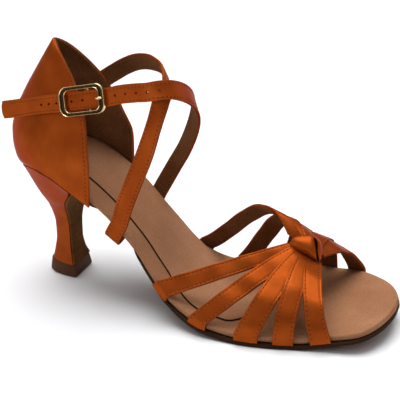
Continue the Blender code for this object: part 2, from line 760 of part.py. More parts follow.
def tube(name, points, radius, collection):
    """A round bar through points in the buckle's own directions, as a mesh."""
    data = bpy.data.curves.new(name, "CURVE")
    data.dimensions = "3D"
    data.bevel_depth = radius * MM
    data.bevel_resolution = 2
    data.use_fill_caps = True
    spline = data.splines.new("POLY")
    spline.points.add(len(points) - 1)
    for place, point in zip(spline.points, points):
        place.co = (*[value * MM for value in point], 1)
    guide = bpy.data.objects.new(name + "_guide", data)
    collection.objects.link(guide)
    bpy.context.view_layer.update()
    mesh = bpy.data.meshes.new_from_object(guide.evaluated_get(bpy.context.evaluated_depsgraph_get()))
    bpy.data.objects.remove(guide)
    bm = bmesh.new()
    bm.from_mesh(mesh)
    bmesh.ops.remove_doubles(bm, verts=bm.verts, dist=1e-6)
    bm.transform(buckle_matrix())
    bpy.data.meshes.remove(mesh)
    return new_object(name, bm, collection)


def build_prong(collection):
    """The tongue: hooked round the bar, up through the strap's hole and onto the front end bar."""
    ring = BAR_RADIUS + CLEARANCE + PRONG_RADIUS
    turns = [radians(100 + 32 * i) for i in range(9)]
    points = [(ring * cos(angle), 0, BAR_OFFSET + ring * sin(angle)) for angle in turns]
    over = STRAP_OFF + PRONG_RADIUS
    rest = FRAME_OFFSET + BUCKLE_THICKNESS / 2 + CLEARANCE + PRONG_RADIUS
    end = BUCKLE_LENGTH / 2 - BUCKLE_END_BAR / 2
    points.append((ring + PRONG_RADIUS, 0, BAR_OFFSET + BAR_RADIUS))
    points.append((PRONG_HOLE_AHEAD + PRONG_HOLE_LENGTH / 2 - 1.5 * PRONG_RADIUS, 0, over))
    points.append((end - BUCKLE_END_BAR * 0.7, 0, rest))
    points.append((end, 0, rest))
    return tube("buckle_prong", points, PRONG_RADIUS, collection)


def build_tab(collection, cutters):
    """The loop that holds the buckle's bar: laid on the counter's outside and curled round the bar."""
    radius = BAR_RADIUS + CLEARANCE + TAB_THICKNESS / 2
    turns = [radians(-150 + 34 * i) for i in range(8)]
    path = [Vector((radius * cos(angle), 0, BAR_OFFSET + radius * sin(angle))) for angle in turns]
    flat = BAR_OFFSET + radius - CLEARANCE / 2
    path += [Vector((-TAB_LENGTH / 3, 0, flat)), Vector((-TAB_LENGTH, 0, flat - CLEARANCE))]
    place = buckle_matrix()
    rings = []
    for i, point in enumerate(path):
        tangent = (path[min(i + 1, len(path) - 1)] - path[max(i - 1, 0)]).normalized()
        depth = tangent.cross(Vector((0, 1, 0))) * TAB_THICKNESS / 2
        half = Vector((0, TAB_WIDTH / 2, 0))
        corners = [point + depth + half, point + depth - half, point - depth - half, point - depth + half]
        rings.append([(place @ (corner * MM)) / MM for corner in corners])
    tab = loft("buckle_tab", rings, collection, smooth=50)
    reach = 2 * radius + TAB_THICKNESS
    slot = box("tab_slot", (0, 0, BAR_OFFSET), (1.8 * reach, TAB_SLOT, 1.6 * reach), cutters)
    combine(tab, slot, "DIFFERENCE")
    return tab


def box(name, centre, size, collection):
    """A box in the buckle's own directions."""
    bm = bmesh.new()
    bmesh.ops.create_cube(bm, size=1)
    place = buckle_matrix() @ Matrix.Translation(Vector(centre) * MM)
    place @= Matrix.Diagonal((*[side * MM for side in size], 1))
    bmesh.ops.transform(bm, matrix=place, verts=bm.verts)
    return new_object(name, bm, collection)


MATERIALS = {
    "satin": ("#9A4518", 0.38, 0.0),
    "suede": ("#4A2C14", 0.95, 0.0),
    "insole cover": ("#A5765A", 0.80, 0.0),
    "sock lining": ("#A87B5E", 0.85, 0.0),
    "top piece": ("#5C4436", 0.75, 0.0),
    "gold": ("#C9A56A", 0.22, 1.0),
}


def finish(obj, name):
    """Gives an object a plain Principled material, made once for each finish."""
    colour, roughness, metallic = MATERIALS[name]
    made = bpy.data.materials.get(name) or bpy.data.materials.new(name)
    made.use_nodes = True
    shader = made.node_tree.nodes["Principled BSDF"]
    values = [int(colour[i : i + 2], 16) / 255 for i in (1, 3, 5)]
    linear = [v / 12.92 if v <= 0.04045 else ((v + 0.055) / 1.055) ** 2.4 for v in values]
    shader.inputs["Base Color"].default_value = (*linear, 1)
    shader.inputs["Roughness"].default_value = roughness
    shader.inputs["Metallic"].default_value = metallic
    obj.data.materials.clear()
    obj.data.materials.append(made)


def main():
    for obj in list(bpy.data.objects):
        bpy.data.objects.remove(obj)
    scene = bpy.context.scene
    scene.unit_settings.system = "METRIC"
    shoe = bpy.data.collections.new("dance_sandal")
    cutters = bpy.data.collections.new("cutters")
    scene.collection.children.link(shoe)
    scene.collection.children.link(cutters)

    finish(build_insole(shoe), "insole cover")
    finish(build_sock(shoe), "sock lining")
    finish(build_outsole(shoe), "suede")
    finish(build_heel(shoe), "satin")
    finish(build_heel_tip(shoe), "top piece")
    counter = build_counter(shoe)
    combine(counter, build_strap("cross_strap", CROSS_ROOT, CROSS_OVER_FOOT, CROSS_AT_COUNTER, cutters), "UNION")
    finish(counter, "satin")
    finish(build_vamp(shoe, cutters), "satin")
    strap = build_strap("buckle_strap", BUCKLE_ROOT, BUCKLE_OVER_FOOT, BUCKLE_AT_COUNTER, shoe)
    hole_size = (PRONG_HOLE_LENGTH, PRONG_HOLE_WIDTH, 4 * STRAP_THICKNESS)
    combine(strap, box("prong_hole", (PRONG_HOLE_AHEAD, 0, 0), hole_size, cutters), "DIFFERENCE")
    finish(strap, "satin")
    finish(build_buckle_frame(shoe, cutters), "gold")
    finish(build_prong(shoe), "gold")
    finish(build_tab(shoe, cutters), "satin")


main()
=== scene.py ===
from collections import namedtuple
from math import acos, atan2, cos, pi, radians, sin

import bmesh
import bpy
import numpy as np
from mathutils import Matrix, Vector


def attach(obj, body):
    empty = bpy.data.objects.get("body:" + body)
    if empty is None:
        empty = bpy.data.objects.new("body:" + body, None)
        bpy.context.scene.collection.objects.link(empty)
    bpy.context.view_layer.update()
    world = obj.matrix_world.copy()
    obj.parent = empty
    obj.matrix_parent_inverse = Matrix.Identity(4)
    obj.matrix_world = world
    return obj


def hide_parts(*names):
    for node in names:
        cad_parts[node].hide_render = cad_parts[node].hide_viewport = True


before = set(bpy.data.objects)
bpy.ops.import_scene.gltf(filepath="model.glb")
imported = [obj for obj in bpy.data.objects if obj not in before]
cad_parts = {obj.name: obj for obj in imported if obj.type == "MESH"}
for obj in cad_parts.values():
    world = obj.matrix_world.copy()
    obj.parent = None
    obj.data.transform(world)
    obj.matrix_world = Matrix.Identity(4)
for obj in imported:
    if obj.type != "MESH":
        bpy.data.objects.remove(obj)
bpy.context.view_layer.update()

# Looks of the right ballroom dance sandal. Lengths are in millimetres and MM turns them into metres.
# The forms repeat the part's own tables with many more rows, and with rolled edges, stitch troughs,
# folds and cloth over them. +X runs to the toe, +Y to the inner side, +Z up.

MM = 0.001

# The last and the sole.
INSOLE_LENGTH = 192.0
BALL_WIDTH = 81.6
SEAT_HEIGHT = 68.3
SEAT_BACK = 18.2
TOE_SPRING = 8.5
INSOLE_THICKNESS = 2.6
OUTSOLE_THICKNESS = 1.8
SOCK_THICKNESS = 0.8
CLEARANCE = 0.3

# The counter, and the seam under it where the heel's cover begins.
COUNTER_RISE = 56.1
COUNTER_LENGTH = 47.5
COUNTER_WIDTH = 53.6
COUNTER_WALL = 2.0
SEAM_DROP = 4.5
SEAM_BACK_DROP = 2.2
SEAM_GAP = 0.5

# The heel, its top piece, and the flap of the outsole on its breast.
HEEL_TIP_LENGTH = 18.7
HEEL_TIP_WIDTH = 18.4
HEEL_TIP_HEIGHT = 6.5
BREAST_REACH = 17.3
BREAST_DROP = 2.6
FLAP_THICKNESS = 1.2
FLAP_INSET = 0.6

# The straps and the knot.
STRAP_THICKNESS = 1.6
STRAP_WIDTH = 8.7
KNOT_HEIGHT = 34.5
NECK_STRAP_WIDTH = 8.8
NECK_REACH = 2.5
NECK_RISE = 1.6
PLEAT_HEIGHT = 0.55
RIPPLE_HEIGHT = 0.26
RIPPLE_LENGTH = 15.0
FAN_FOOT = 0.1
FAN_LEAD = 0.8

# How an ankle strap comes out from under the insole: tucked in, hanging down and turned up.
ROOT_TUCK = 4.0
ROOT_HANG = 5.8
ROOT_TURN = 2.1
ROOT_EASE = 0.4
ROOT_RISE = 3.0

# The buckle, its tongue and the tab that holds it.
BUCKLE_LENGTH = 24.2
BUCKLE_HEIGHT = 14.0
BUCKLE_END_BAR = 3.2
BUCKLE_SIDE_RAIL = 1.8
BUCKLE_THICKNESS = 1.6
BUCKLE_CORNER = 4.2
BAR_RADIUS = 0.8
TAB_WIDTH = 7.6
TAB_THICKNESS = 1.2
TAB_LENGTH = 13.0
PRONG_RADIUS = 0.5
TONGUE_AHEAD = 7.4

# The holes along the strap: their size, and how far each is behind the buckle's bar. Those below 0 are
# ahead of it: the row that starts at the first, and the tongue's own hole.
PUNCH_RADIUS = 0.62
PUNCH_DEPTH = 6.0
PUNCH_FIRST = -17.3
PUNCH_SPACING = 5.9
PUNCH_MARKS = [PUNCH_FIRST - PUNCH_SPACING * i for i in range(5)]
PUNCH_MARKS += [-TONGUE_AHEAD, 0.5, 6.4, 15.0, 19.4, 23.8]
# How long the rounded end of the strap is.
TAIL_ROUND = 1.0

# The stitches: how far apart, how long and thick, and how far from the folded edge.
STITCH_PITCH = 2.1
STITCH_LENGTH = 1.2
THREAD_THICKNESS = 0.36
STITCH_INSET = 1.3
NEEDLE_HOLE = 0.54

# The camera: its angles round and above the shoe in degrees, and its distance and aim in mm.
CAMERA_AZIMUTH, CAMERA_ELEVATION = 20.49, 23.41
CAMERA_DISTANCE = 472.5
CAMERA_AIM = (74.9, 0, 50.45)
CAMERA_LENS, CAMERA_SENSOR = 87.12, 36.0

LATERAL = -1
MEDIAL = 1
BASE_THICKNESS = INSOLE_THICKNESS + CLEARANCE + OUTSOLE_THICKNESS
HEEL_RISE = SEAT_HEIGHT - BASE_THICKNESS
STRAP_MARGIN = CLEARANCE + STRAP_THICKNESS
STRAP_OFF = CLEARANCE + STRAP_THICKNESS / 2
FRAME_OFFSET = STRAP_OFF + BUCKLE_THICKNESS / 2
BAR_OFFSET = -(STRAP_OFF + CLEARANCE + TAB_THICKNESS + BAR_RADIUS)

# How many rows and columns each form has.
SOLE_ROWS = 200
STRAP_ROWS = 260
FAN_ROWS = 64
COUNTER_ROWS = 96
HEEL_ROWS = 90
CURVE_STEPS = 24


def table(names, *rows):
    """A table's rows, each with its values by name."""
    row_type = namedtuple("Row", names)
    return [row_type(*row) for row in rows]


# The sole, heel to toe, as shares of the insole's length, ball width, heel rise and toe spring.
SOLE = table(
    "along lateral medial rise spring margin",
    (0.00, 0.000, 0.000, 0.950, 0.0, 0.0),
    (0.02, 0.112, 0.112, 0.975, 0.0, 0.0),
    (0.045, 0.170, 0.170, 0.990, 0.0, 0.0),
    (0.08, 0.235, 0.235, 1.000, 0.0, 0.0),
    (0.12, 0.277, 0.277, 0.983, 0.0, 0.0),
    (0.19, 0.302, 0.300, 0.882, 0.0, 0.0),
    (0.265, 0.302, 0.292, 0.728, 0.0, 0.0),
    (0.37, 0.335, 0.245, 0.458, 0.0, -0.6),
    (0.43, 0.390, 0.243, 0.273, 0.0, -0.5),
    (0.475, 0.430, 0.262, 0.153, 0.0, 0.3),
    (0.58, 0.490, 0.365, 0.027, 0.0, 1.0),
    (0.66, 0.495, 0.455, 0.000, 0.0, 1.0),
    (0.73, 0.475, 0.495, 0.000, 0.0, 1.0),
    (0.79, 0.440, 0.505, 0.000, 0.0, 1.0),
    (0.86, 0.400, 0.470, 0.000, 0.25, 1.0),
    (0.93, 0.365, 0.350, 0.000, 0.60, 0.6),
    (1.00, 0.000, 0.000, 0.000, 1.0, 0.4),
)

# The sock lining on the insole: its two edges, as shares of the ball width.
SOCK = table(
    "along lateral medial",
    (0.050, 0.060, 0.060),
    (0.075, 0.120, 0.140),
    (0.120, 0.145, 0.215),
    (0.210, 0.153, 0.265),
    (0.280, 0.167, 0.260),
    (0.355, 0.202, 0.225),
    (0.410, 0.245, 0.215),
    (0.444, 0.276, 0.215),
    (0.485, 0.340, 0.235),
    (0.520, 0.382, 0.270),
    (0.555, 0.398, 0.300),
    (0.610, 0.398, 0.320),
    (0.652, 0.314, 0.270),
    (0.672, 0.180, 0.170),
    (0.680, 0.040, 0.060),
)

# The counter's level sections, as shares of its rise, length and width.
COUNTER = table(
    "over back front half",
    (-0.04, -0.510, 0.589, 0.500),
    (0.07, -0.535, 0.585, 0.489),
    (0.17, -0.537, 0.562, 0.455),
    (0.28, -0.509, 0.530, 0.407),
    (0.39, -0.459, 0.498, 0.366),
    (0.49, -0.396, 0.450, 0.327),
    (0.60, -0.320, 0.394, 0.291),
    (0.71, -0.238, 0.320, 0.239),
    (0.80, -0.170, 0.238, 0.198),
    (0.885, -0.105, 0.152, 0.151),
    (0.94, -0.063, 0.088, 0.110),
    (0.975, -0.036, 0.042, 0.069),
    (1.00, -0.019, 0.006, 0.022),
)
COUNTER_FRONT = 0.581 * COUNTER_LENGTH
SEAM_EASE = table("plan rise", (0.42, 0.25), (0.80, 0.62))
SEAT_EASE = 4.5
SEAT_LEAN = 0.15

# The heel's sections, as shares of its height and of the tip's length and width.
HEEL = table(
    "up back front half dip",
    (0.00, -0.410, 0.402, 0.475, 0.000),
    (0.10, -0.345, 0.322, 0.381, 0.000),
    (0.25, -0.280, 0.278, 0.326, 0.000),
    (0.40, -0.285, 0.278, 0.338, 0.000),
    (0.52, -0.350, 0.290, 0.430, 0.000),
    (0.64, -0.455, 0.340, 0.610, 0.000),
    (0.76, -0.615, 0.480, 0.890, 0.010),
    (0.88, -0.800, 0.700, 1.110, 0.020),
)
# The top piece: its foot is eased, it is widest low down and it tapers up to the heel.
TIP = table(
    "up size",
    (0.0, 0.955),
    (0.12, 0.975),
    (0.35, 0.995),
    (0.7, 1.0),
    (3.0, 0.965),
    (6.2, 0.905),
    (6.42, 0.897),
    (6.5, 0.88),
)
TIP_SQUARENESS = 0.8

# The two ankle straps over the foot and beside the counter.
FOOT_COLUMNS = "along across over turn tilt"
CROSS_OVER_FOOT = table(
    FOOT_COLUMNS,
    (0.341, -0.337, 0.28, -4, -21),
    (0.367, -0.329, 0.59, -8, -20),
    (0.392, -0.312, 0.90, -10, -19),
    (0.413, -0.282, 1.23, -22, -15),
    (0.425, -0.239, 1.47, -12, -16),
    (0.425, -0.188, 1.585, 108, -47),
    (0.413, -0.117, 1.61, 66, -62),
    (0.384, -0.045, 1.53, 85, -55),
    (0.345, 0.030, 1.395, 105, -57),
    (0.301, 0.095, 1.225, 98, -62),
)
BUCKLE_OVER_FOOT = table(
    FOOT_COLUMNS,
    (0.370, 0.273, 0.430, -20, -26),
    (0.403, 0.251, 0.741, -25, -29),
    (0.432, 0.208, 1.057, -28, -33),
    (0.452, 0.135, 1.304, -38, -39),
    (0.461, 0.049, 1.472, -54, -46),
    (0.464, -0.049, 1.575, -60, -57),
    (0.460, -0.150, 1.638, -71, -63),
    (0.450, -0.240, 1.656, -79, -73),
    (0.428, -0.280, 1.587, -60, -79),
    (0.398, -0.282, 1.454, -40, -76),
)
COUNTER_COLUMNS = "reach beside up turn tilt"
CROSS_AT_COUNTER = table(
    COUNTER_COLUMNS,
    (0.656, 0.225, 0.745, 70, -66),
    (0.486, 0.282, 0.654, 15, -60),
    (0.377, 0.298, 0.594, -5, -56),
    (0.312, 0.301, 0.564, -5, -56),
)
BUCKLE_AT_COUNTER = table(
    COUNTER_COLUMNS,
    (1.096, -0.411, 0.720, -40, -74),
    (0.918, -0.388, 0.684, -45, -72),
    (0.789, -0.373, 0.646, -50, -70),
    (0.518, -0.373, 0.594, -50, -70),
    (0.264, -0.364, 0.545, -50, -70),
    (0.005, -0.346, 0.496, -50, -70),
    (-0.242, -0.326, 0.441, -50, -70),
    (-0.460, -0.308, 0.396, -50, -70),
)
BUCKLE_ROW = 3
ROOTS = table("along side lean", (0.313, LATERAL, 27), (0.316, MEDIAL, 27))
CROSS_ROOT, BUCKLE_ROOT = ROOTS

# The fan of straps, the neck under the knot, and the knot.
FAN = table(
    "side rear front bow crest droop neck",
    (LATERAL, 0.438, 0.474, 0.20, 0.00, 0.00, 0.22),
    (LATERAL, 0.536, 0.581, 0.60, 0.00, 0.00, 0.37),
    (LATERAL, 0.651, 0.709, 0.85, 0.00, 0.00, 0.49),
    (LATERAL, 0.743, 0.791, 1.00, 0.00, 0.00, 0.63),
    (LATERAL, 0.827, 0.875, 1.00, 0.00, 0.00, 0.77),
    (MEDIAL, 0.447, 0.483, 0.90, 0.35, 0.00, 0.14),
    (MEDIAL, 0.545, 0.590, 0.95, 0.27, 0.00, 0.28),
    (MEDIAL, 0.650, 0.698, 1.00, 0.13, 0.04, 0.44),
    (MEDIAL, 0.752, 0.803, 0.90, 0.07, 0.00, 0.62),
    (MEDIAL, 0.833, 0.881, 0.75, 0.03, 0.04, 0.80),
)
NECK = table("along across up", (0.726, 0.000, 1.00), (0.805, 0.000, 0.84))
KNOT_ALONG, KNOT_ACROSS, KNOT_UP = 0.764, -0.012, 0.965
# The knot faces outwards: turned to the toe and leaned back by these degrees. Its two folds are
# given in its own face's directions, in mm: to the toe, up and outwards. Each row has the two ends
# of a section, how far it swells out between them, and how thick it is behind.
KNOT_TURN, KNOT_LEAN = 20.5, 23.4
FOLD_COLUMNS = "low_x low_y low_out high_x high_y high_out swell back"
KNOT_WRAP = table(
    FOLD_COLUMNS,
    (-7.6, 2.2, 0.5, -7.5, 2.6, 0.5, 0.05, 0.05),
    (-6.6, 1.4, 0.8, -6.7, 4.1, 0.6, 0.9, 0.8),
    (-4.9, 0.4, 1.3, -5.2, 5.8, 0.8, 2.0, 1.6),
    (-2.4, -0.9, 2.3, -2.8, 6.5, 1.1, 2.8, 2.4),
    (0.4, -2.3, 3.4, -0.2, 6.8, 1.4, 3.1, 3.0),
    (2.6, -3.5, 4.3, 2.0, 6.9, 1.7, 2.9, 3.0),
    (4.3, -4.5, 4.6, 3.5, 6.5, 1.9, 2.3, 2.6),
    (5.3, -5.1, 4.2, 4.2, 5.7, 1.7, 1.3, 2.0),
    (5.1, -4.9, 2.8, 4.0, 5.1, 0.9, 0.7, 1.0),
    (4.2, -4.2, 1.2, 3.2, 4.4, 0.0, 0.1, 0.1),
)
KNOT_RIM = table(
    FOLD_COLUMNS,
    (2.4, 6.7, 1.0, 3.2, 7.1, 0.6, 0.1, 0.1),
    (4.4, 5.8, 2.4, 5.4, 6.2, 0.6, 0.9, 1.2),
    (5.5, 4.0, 3.3, 7.3, 4.3, 0.0, 1.5, 1.8),
    (5.8, 2.0, 3.9, 8.3, 1.8, -0.2, 1.7, 2.2),
    (5.6, -0.4, 4.3, 8.6, -0.8, 0.3, 1.7, 2.2),
    (5.9, -2.6, 4.6, 8.0, -3.1, 1.4, 1.3, 1.8),
    (6.4, -4.6, 4.5, 7.2, -5.0, 2.6, 0.7, 1.0),
    (6.6, -5.8, 4.2, 6.8, -5.9, 3.4, 0.05, 0.05),
)
# The depth of the slit between them: a dark sheet of painted shade.
KNOT_CORE = table(
    FOLD_COLUMNS,
    (2.4, 5.8, 0.6, 6.2, 5.6, -0.2, 0.1, 0.1),
    (3.0, 4.0, 1.0, 7.2, 3.8, 0.2, 0.9, 1.6),
    (3.2, 0.6, 1.5, 7.6, 0.2, 0.6, 1.0, 2.0),
    (4.0, -2.9, 1.9, 7.4, -3.2, 1.0, 0.9, 1.8),
    (5.4, -5.6, 2.0, 7.0, -5.8, 1.6, 0.3, 0.6),
)

# Half a strap's section, from its back to the middle of its face: how far in from the edge (or, in
# the middle, the share of the way out) and how high. The cover turns round the edge, and has a
# trough under its stitches. The lining lies in the cover's turned edges.
SECTION = "share inset lift"
COVER_SECTION = table(
    SECTION,
    (1, 1.00, -0.40),
    (1, 0.46, -0.42),
    (1, 0.42, -0.70),
    (1, 0.24, -0.76),
    (1, 0.07, -0.58),
    (1, 0.00, -0.20),
    (1, 0.00, 0.30),
    (1, 0.05, 0.60),
    (1, 0.20, 0.76),
    (1, 0.50, 0.81),
    (1, 0.95, 0.80),
    (1, 1.15, 0.75),
    (1, 1.30, 0.73),
    (1, 1.45, 0.75),
    (1, 1.75, 0.82),
    (1, 2.30, 0.85),
    (0.30, 0.0, 0.88),
    (0.0, 0.0, 0.89),
)
LINING_SECTION = table(
    SECTION,
    (1, 0.47, -0.38),
    (1, 0.45, -0.64),
    (1, 0.58, -0.77),
    (1, 1.05, -0.80),
    (1, 1.30, -0.76),
    (1, 1.55, -0.80),
    (0.4, 0.0, -0.82),
    (0.0, 0.0, -0.82),
)


def fair(xs, ys, x):
    """Smooth curves through rows of numbers that never swing past them (monotone cubics)."""
    xs, ys, x = np.asarray(xs, float), np.asarray(ys, float), np.asarray(x, float)
    flat = ys.reshape(len(xs), -1)
    step = np.diff(xs)[:, None]
    slope = np.diff(flat, axis=0) / step
    rate = np.zeros_like(flat)
    rate[0], rate[-1] = slope[0], slope[-1]
    same = slope[:-1] * slope[1:] > 0
    before, after = 2 * step[1:] + step[:-1], step[1:] + 2 * step[:-1]
    early, late = np.where(same, slope[:-1], 1.0), np.where(same, slope[1:], 1.0)
    rate[1:-1] = np.where(same, (before + after) / (before / early + after / late), 0.0)
    at = x.reshape(-1)
    i = np.clip(np.searchsorted(xs, at) - 1, 0, len(xs) - 2)
    t = np.clip((at - xs[i]) / step[i, 0], 0.0, 1.0)[:, None]
    rise = flat[i + 1] - flat[i]
    start, end = rate[i] * step[i], rate[i + 1] * step[i]
    found = flat[i] + t * start + t * t * (3 * rise - 2 * start - end) + t**3 * (start + end - 2 * rise)
    return found.reshape(x.shape + ys.shape[1:])


def read(rows, name, along, spread=float):
    """A column of a table at a share of the length, along a fair curve."""
    places = [spread(row.along) for row in rows]
    return float(fair(places, [getattr(row, name) for row in rows], spread(along)))


def round_share(along):
    """Spreads the shares near both ends of the sole, so that its ends come out round."""
    return acos(1 - 2 * min(max(along, 0.0), 1.0))


def half_width(along, side):
    return BALL_WIDTH * read(SOLE, "lateral" if side == LATERAL else "medial", along, round_share)


def along_to_x(along):
    return along * INSOLE_LENGTH - SEAT_BACK


def x_to_along(x):
    return (x + SEAT_BACK) / INSOLE_LENGTH


def edge_frame(along, side):
    """A point of the insole's edge in plan, and the direction straight out of it."""
    turn, step = round_share(along), 0.01
    places = []
    for angle in (max(turn - step, 0.0), turn, min(turn + step, pi)):
        share = (1 - cos(angle)) / 2
        places.append(Vector((along_to_x(share), side * half_width(share, side), 0)))
    tangent = (places[2] - places[0]).normalized()
    return places[1], Vector((tangent.y, -tangent.x, 0)) * -side


def insole_top(along):
    rise, spring = read(SOLE, "rise", along), read(SOLE, "spring", along)
    return BASE_THICKNESS + HEEL_RISE * rise + TOE_SPRING * spring


def sole_slope(along):
    step = 0.003
    ahead, behind = min(along + step, 1.0), max(along - step, 0.0)
    return (insole_top(ahead) - insole_top(behind)) / ((ahead - behind) * INSOLE_LENGTH)


def sole_point(along, depth):
    """x and z at a depth below the insole's top face, measured square to it."""
    slope = sole_slope(along)
    length = (1 + slope**2) ** 0.5
    return along_to_x(along) + depth * slope / length, insole_top(along) - depth / length


def below_insole(along, depth):
    return insole_top(along) - depth * (1 + sole_slope(along) ** 2) ** 0.5


def sole_stations(start, end):
    """Shares of the length between two ends, closest together at the round ends of the sole."""
    near = 0.0008
    turned = [(1 - cos(pi * i / (SOLE_ROWS - 1))) / 2 for i in range(SOLE_ROWS)]
    return [start, *[share for share in turned if start + near < share < end - near], end]


def under_board(along):
    return below_insole(along, INSOLE_THICKNESS + CLEARANCE)


def seam_height(along):
    return insole_top(along) - SEAM_DROP - SEAM_BACK_DROP * max(0.0, 1 - 10 * along) ** 2


def rim_height(along):
    return seam_height(along) - SEAM_GAP


def lengths_along(points):
    """How far each point lies along a line of points."""
    points = np.asarray(points, float)
    return np.concatenate([[0.0], np.cumsum(np.linalg.norm(np.diff(points, axis=0), axis=1))])


def unit(vectors):
    return vectors / np.maximum(np.linalg.norm(vectors, axis=-1, keepdims=True), 1e-9)


def at_marks(line, places, marks):
    """The points of a line at so far along it. places says how far along its own points are."""
    line = np.asarray(line, float)
    return np.stack([np.interp(marks, places, line[:, axis]) for axis in range(3)], axis=1)


def new_object(name, data):
    obj = bpy.data.objects.new(name, data)
    bpy.context.scene.collection.objects.link(obj)
    return obj


def settled_mesh(obj):
    """The object's mesh with its modifiers worked out."""
    bpy.context.view_layer.update()
    return bpy.data.meshes.new_from_object(obj.evaluated_get(bpy.context.evaluated_depsgraph_get()))


def mesh_object(name, points, faces, uvs, materials, picks, sharp):
    """A mesh in metres from points in mm, with a UV map in mm and a material for each face."""
    mesh = bpy.data.meshes.new(name)
    mesh.from_pydata([tuple(p) for p in np.asarray(points, float) * MM], [], faces)
    layer = mesh.uv_layers.new(name="cloth")
    layer.data.foreach_set("uv", np.asarray([c for face in uvs for c in face], float).reshape(-1))
    for material in materials:
        mesh.materials.append(material)
    mesh.polygons.foreach_set("material_index", picks)
    bm = bmesh.new()
    bm.from_mesh(mesh)
    bmesh.ops.recalc_face_normals(bm, faces=bm.faces)
    bm.to_mesh(mesh)
    bm.free()
    mesh.shade_smooth()
    mesh.set_sharp_from_angle(angle=radians(sharp))
    return new_object(name, mesh)


def loft(name, rings, materials, columns=None, sharp=40, ends="strips"):
    """A closed skin through rings of points. columns gives each of its columns a material.

    Its ends have strips over them, or are "poles" that run to a point, or are "joined" to each other.
    """
    rings = np.asarray(rings, float)
    rows, count = rings.shape[:2]
    centres, middle = rings.mean(axis=1), rings[rows // 2]
    along = lengths_along([*centres, centres[0]])
    around = lengths_along([*middle, middle[0]])
    columns = columns or [0] * count
    faces, uvs, picks = [], [], []
    for r in range(rows if ends == "joined" else rows - 1):
        here, there = r * count, (r + 1) % rows * count
        low, high = along[r], along[r + 1]
        for i in range(count):
            j = (i + 1) % count
            faces.append((here + i, here + j, there + j, there + i))
            uvs.append([(low, around[i]), (low, around[i + 1]), (high, around[i + 1]), (high, around[i])])
            picks.append(columns[i])
    points = rings.reshape(-1, 3)
    for r in () if ends == "joined" else (0, rows - 1):
        base = r * count
        if ends == "poles":
            points = np.concatenate([points, [rings[r].mean(axis=0)]])
            caps = [(base + i, base + (i + 1) % count, len(points) - 1) for i in range(count)]
        else:
            last = base + count - 1
            caps = [(base + i, base + i + 1, last - 1 - i, last - i) for i in range(count // 2 - 1)]
            if count % 2:
                half = base + count // 2
                caps.append((half - 1, half, half + 1))
        for face in caps:
            faces.append(face)
            places = [around[min(k - base, count)] if k < rows * count else 0.0 for k in face]
            uvs.append([(along[r], place) for place in places])
            picks.append(columns[0])
    return mesh_object(name, points, faces, uvs, materials, picks, sharp)


def keep(obj, slot=None, *nodes):
    """The finished piece rides with the shoe, and stands for the solids named."""
    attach(obj, "root")
    if nodes:
        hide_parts(*nodes)
    return obj


def linear(colour):
    """An sRGB hex colour as linear RGBA."""
    values = [int(colour[i : i + 2], 16) / 255 for i in (1, 3, 5)]
    return (*[v / 12.92 if v <= 0.04045 else ((v + 0.055) / 1.055) ** 2.4 for v in values], 1.0)


def add(tree, kind, inputs=(), **settings):
    """Adds a node. Its inputs are values or other nodes' sockets, by name or by number."""
    made = tree.nodes.new(kind)
    for name, value in settings.items():
        setattr(made, name, value)
    for key, value in dict(inputs).items():
        if isinstance(value, bpy.types.NodeSocket):
            tree.links.new(value, made.inputs[key])
        else:
            made.inputs[key].default_value = value
    return made


def new_material(name, **constants):
    """A material with its Principled shader, whose even values are set on the shader itself."""
    material = bpy.data.materials.new(name)
    material.use_nodes = True
    tree = material.node_tree
    shader = tree.nodes["Principled BSDF"]
    for key, value in constants.items():
        shader.inputs[key.replace("_", " ")].default_value = value
    return material, tree, shader


def ramp(tree, factor, *stops):
    """Colours between stops of (place, hex colour)."""
    made = add(tree, "ShaderNodeValToRGB", {0: factor})
    elements = made.color_ramp.elements
    while len(elements) < len(stops):
        elements.new(0.5)
    for element, (place, colour) in zip(elements, stops):
        element.position = place
        element.color = linear(colour)
    return made.outputs["Color"]


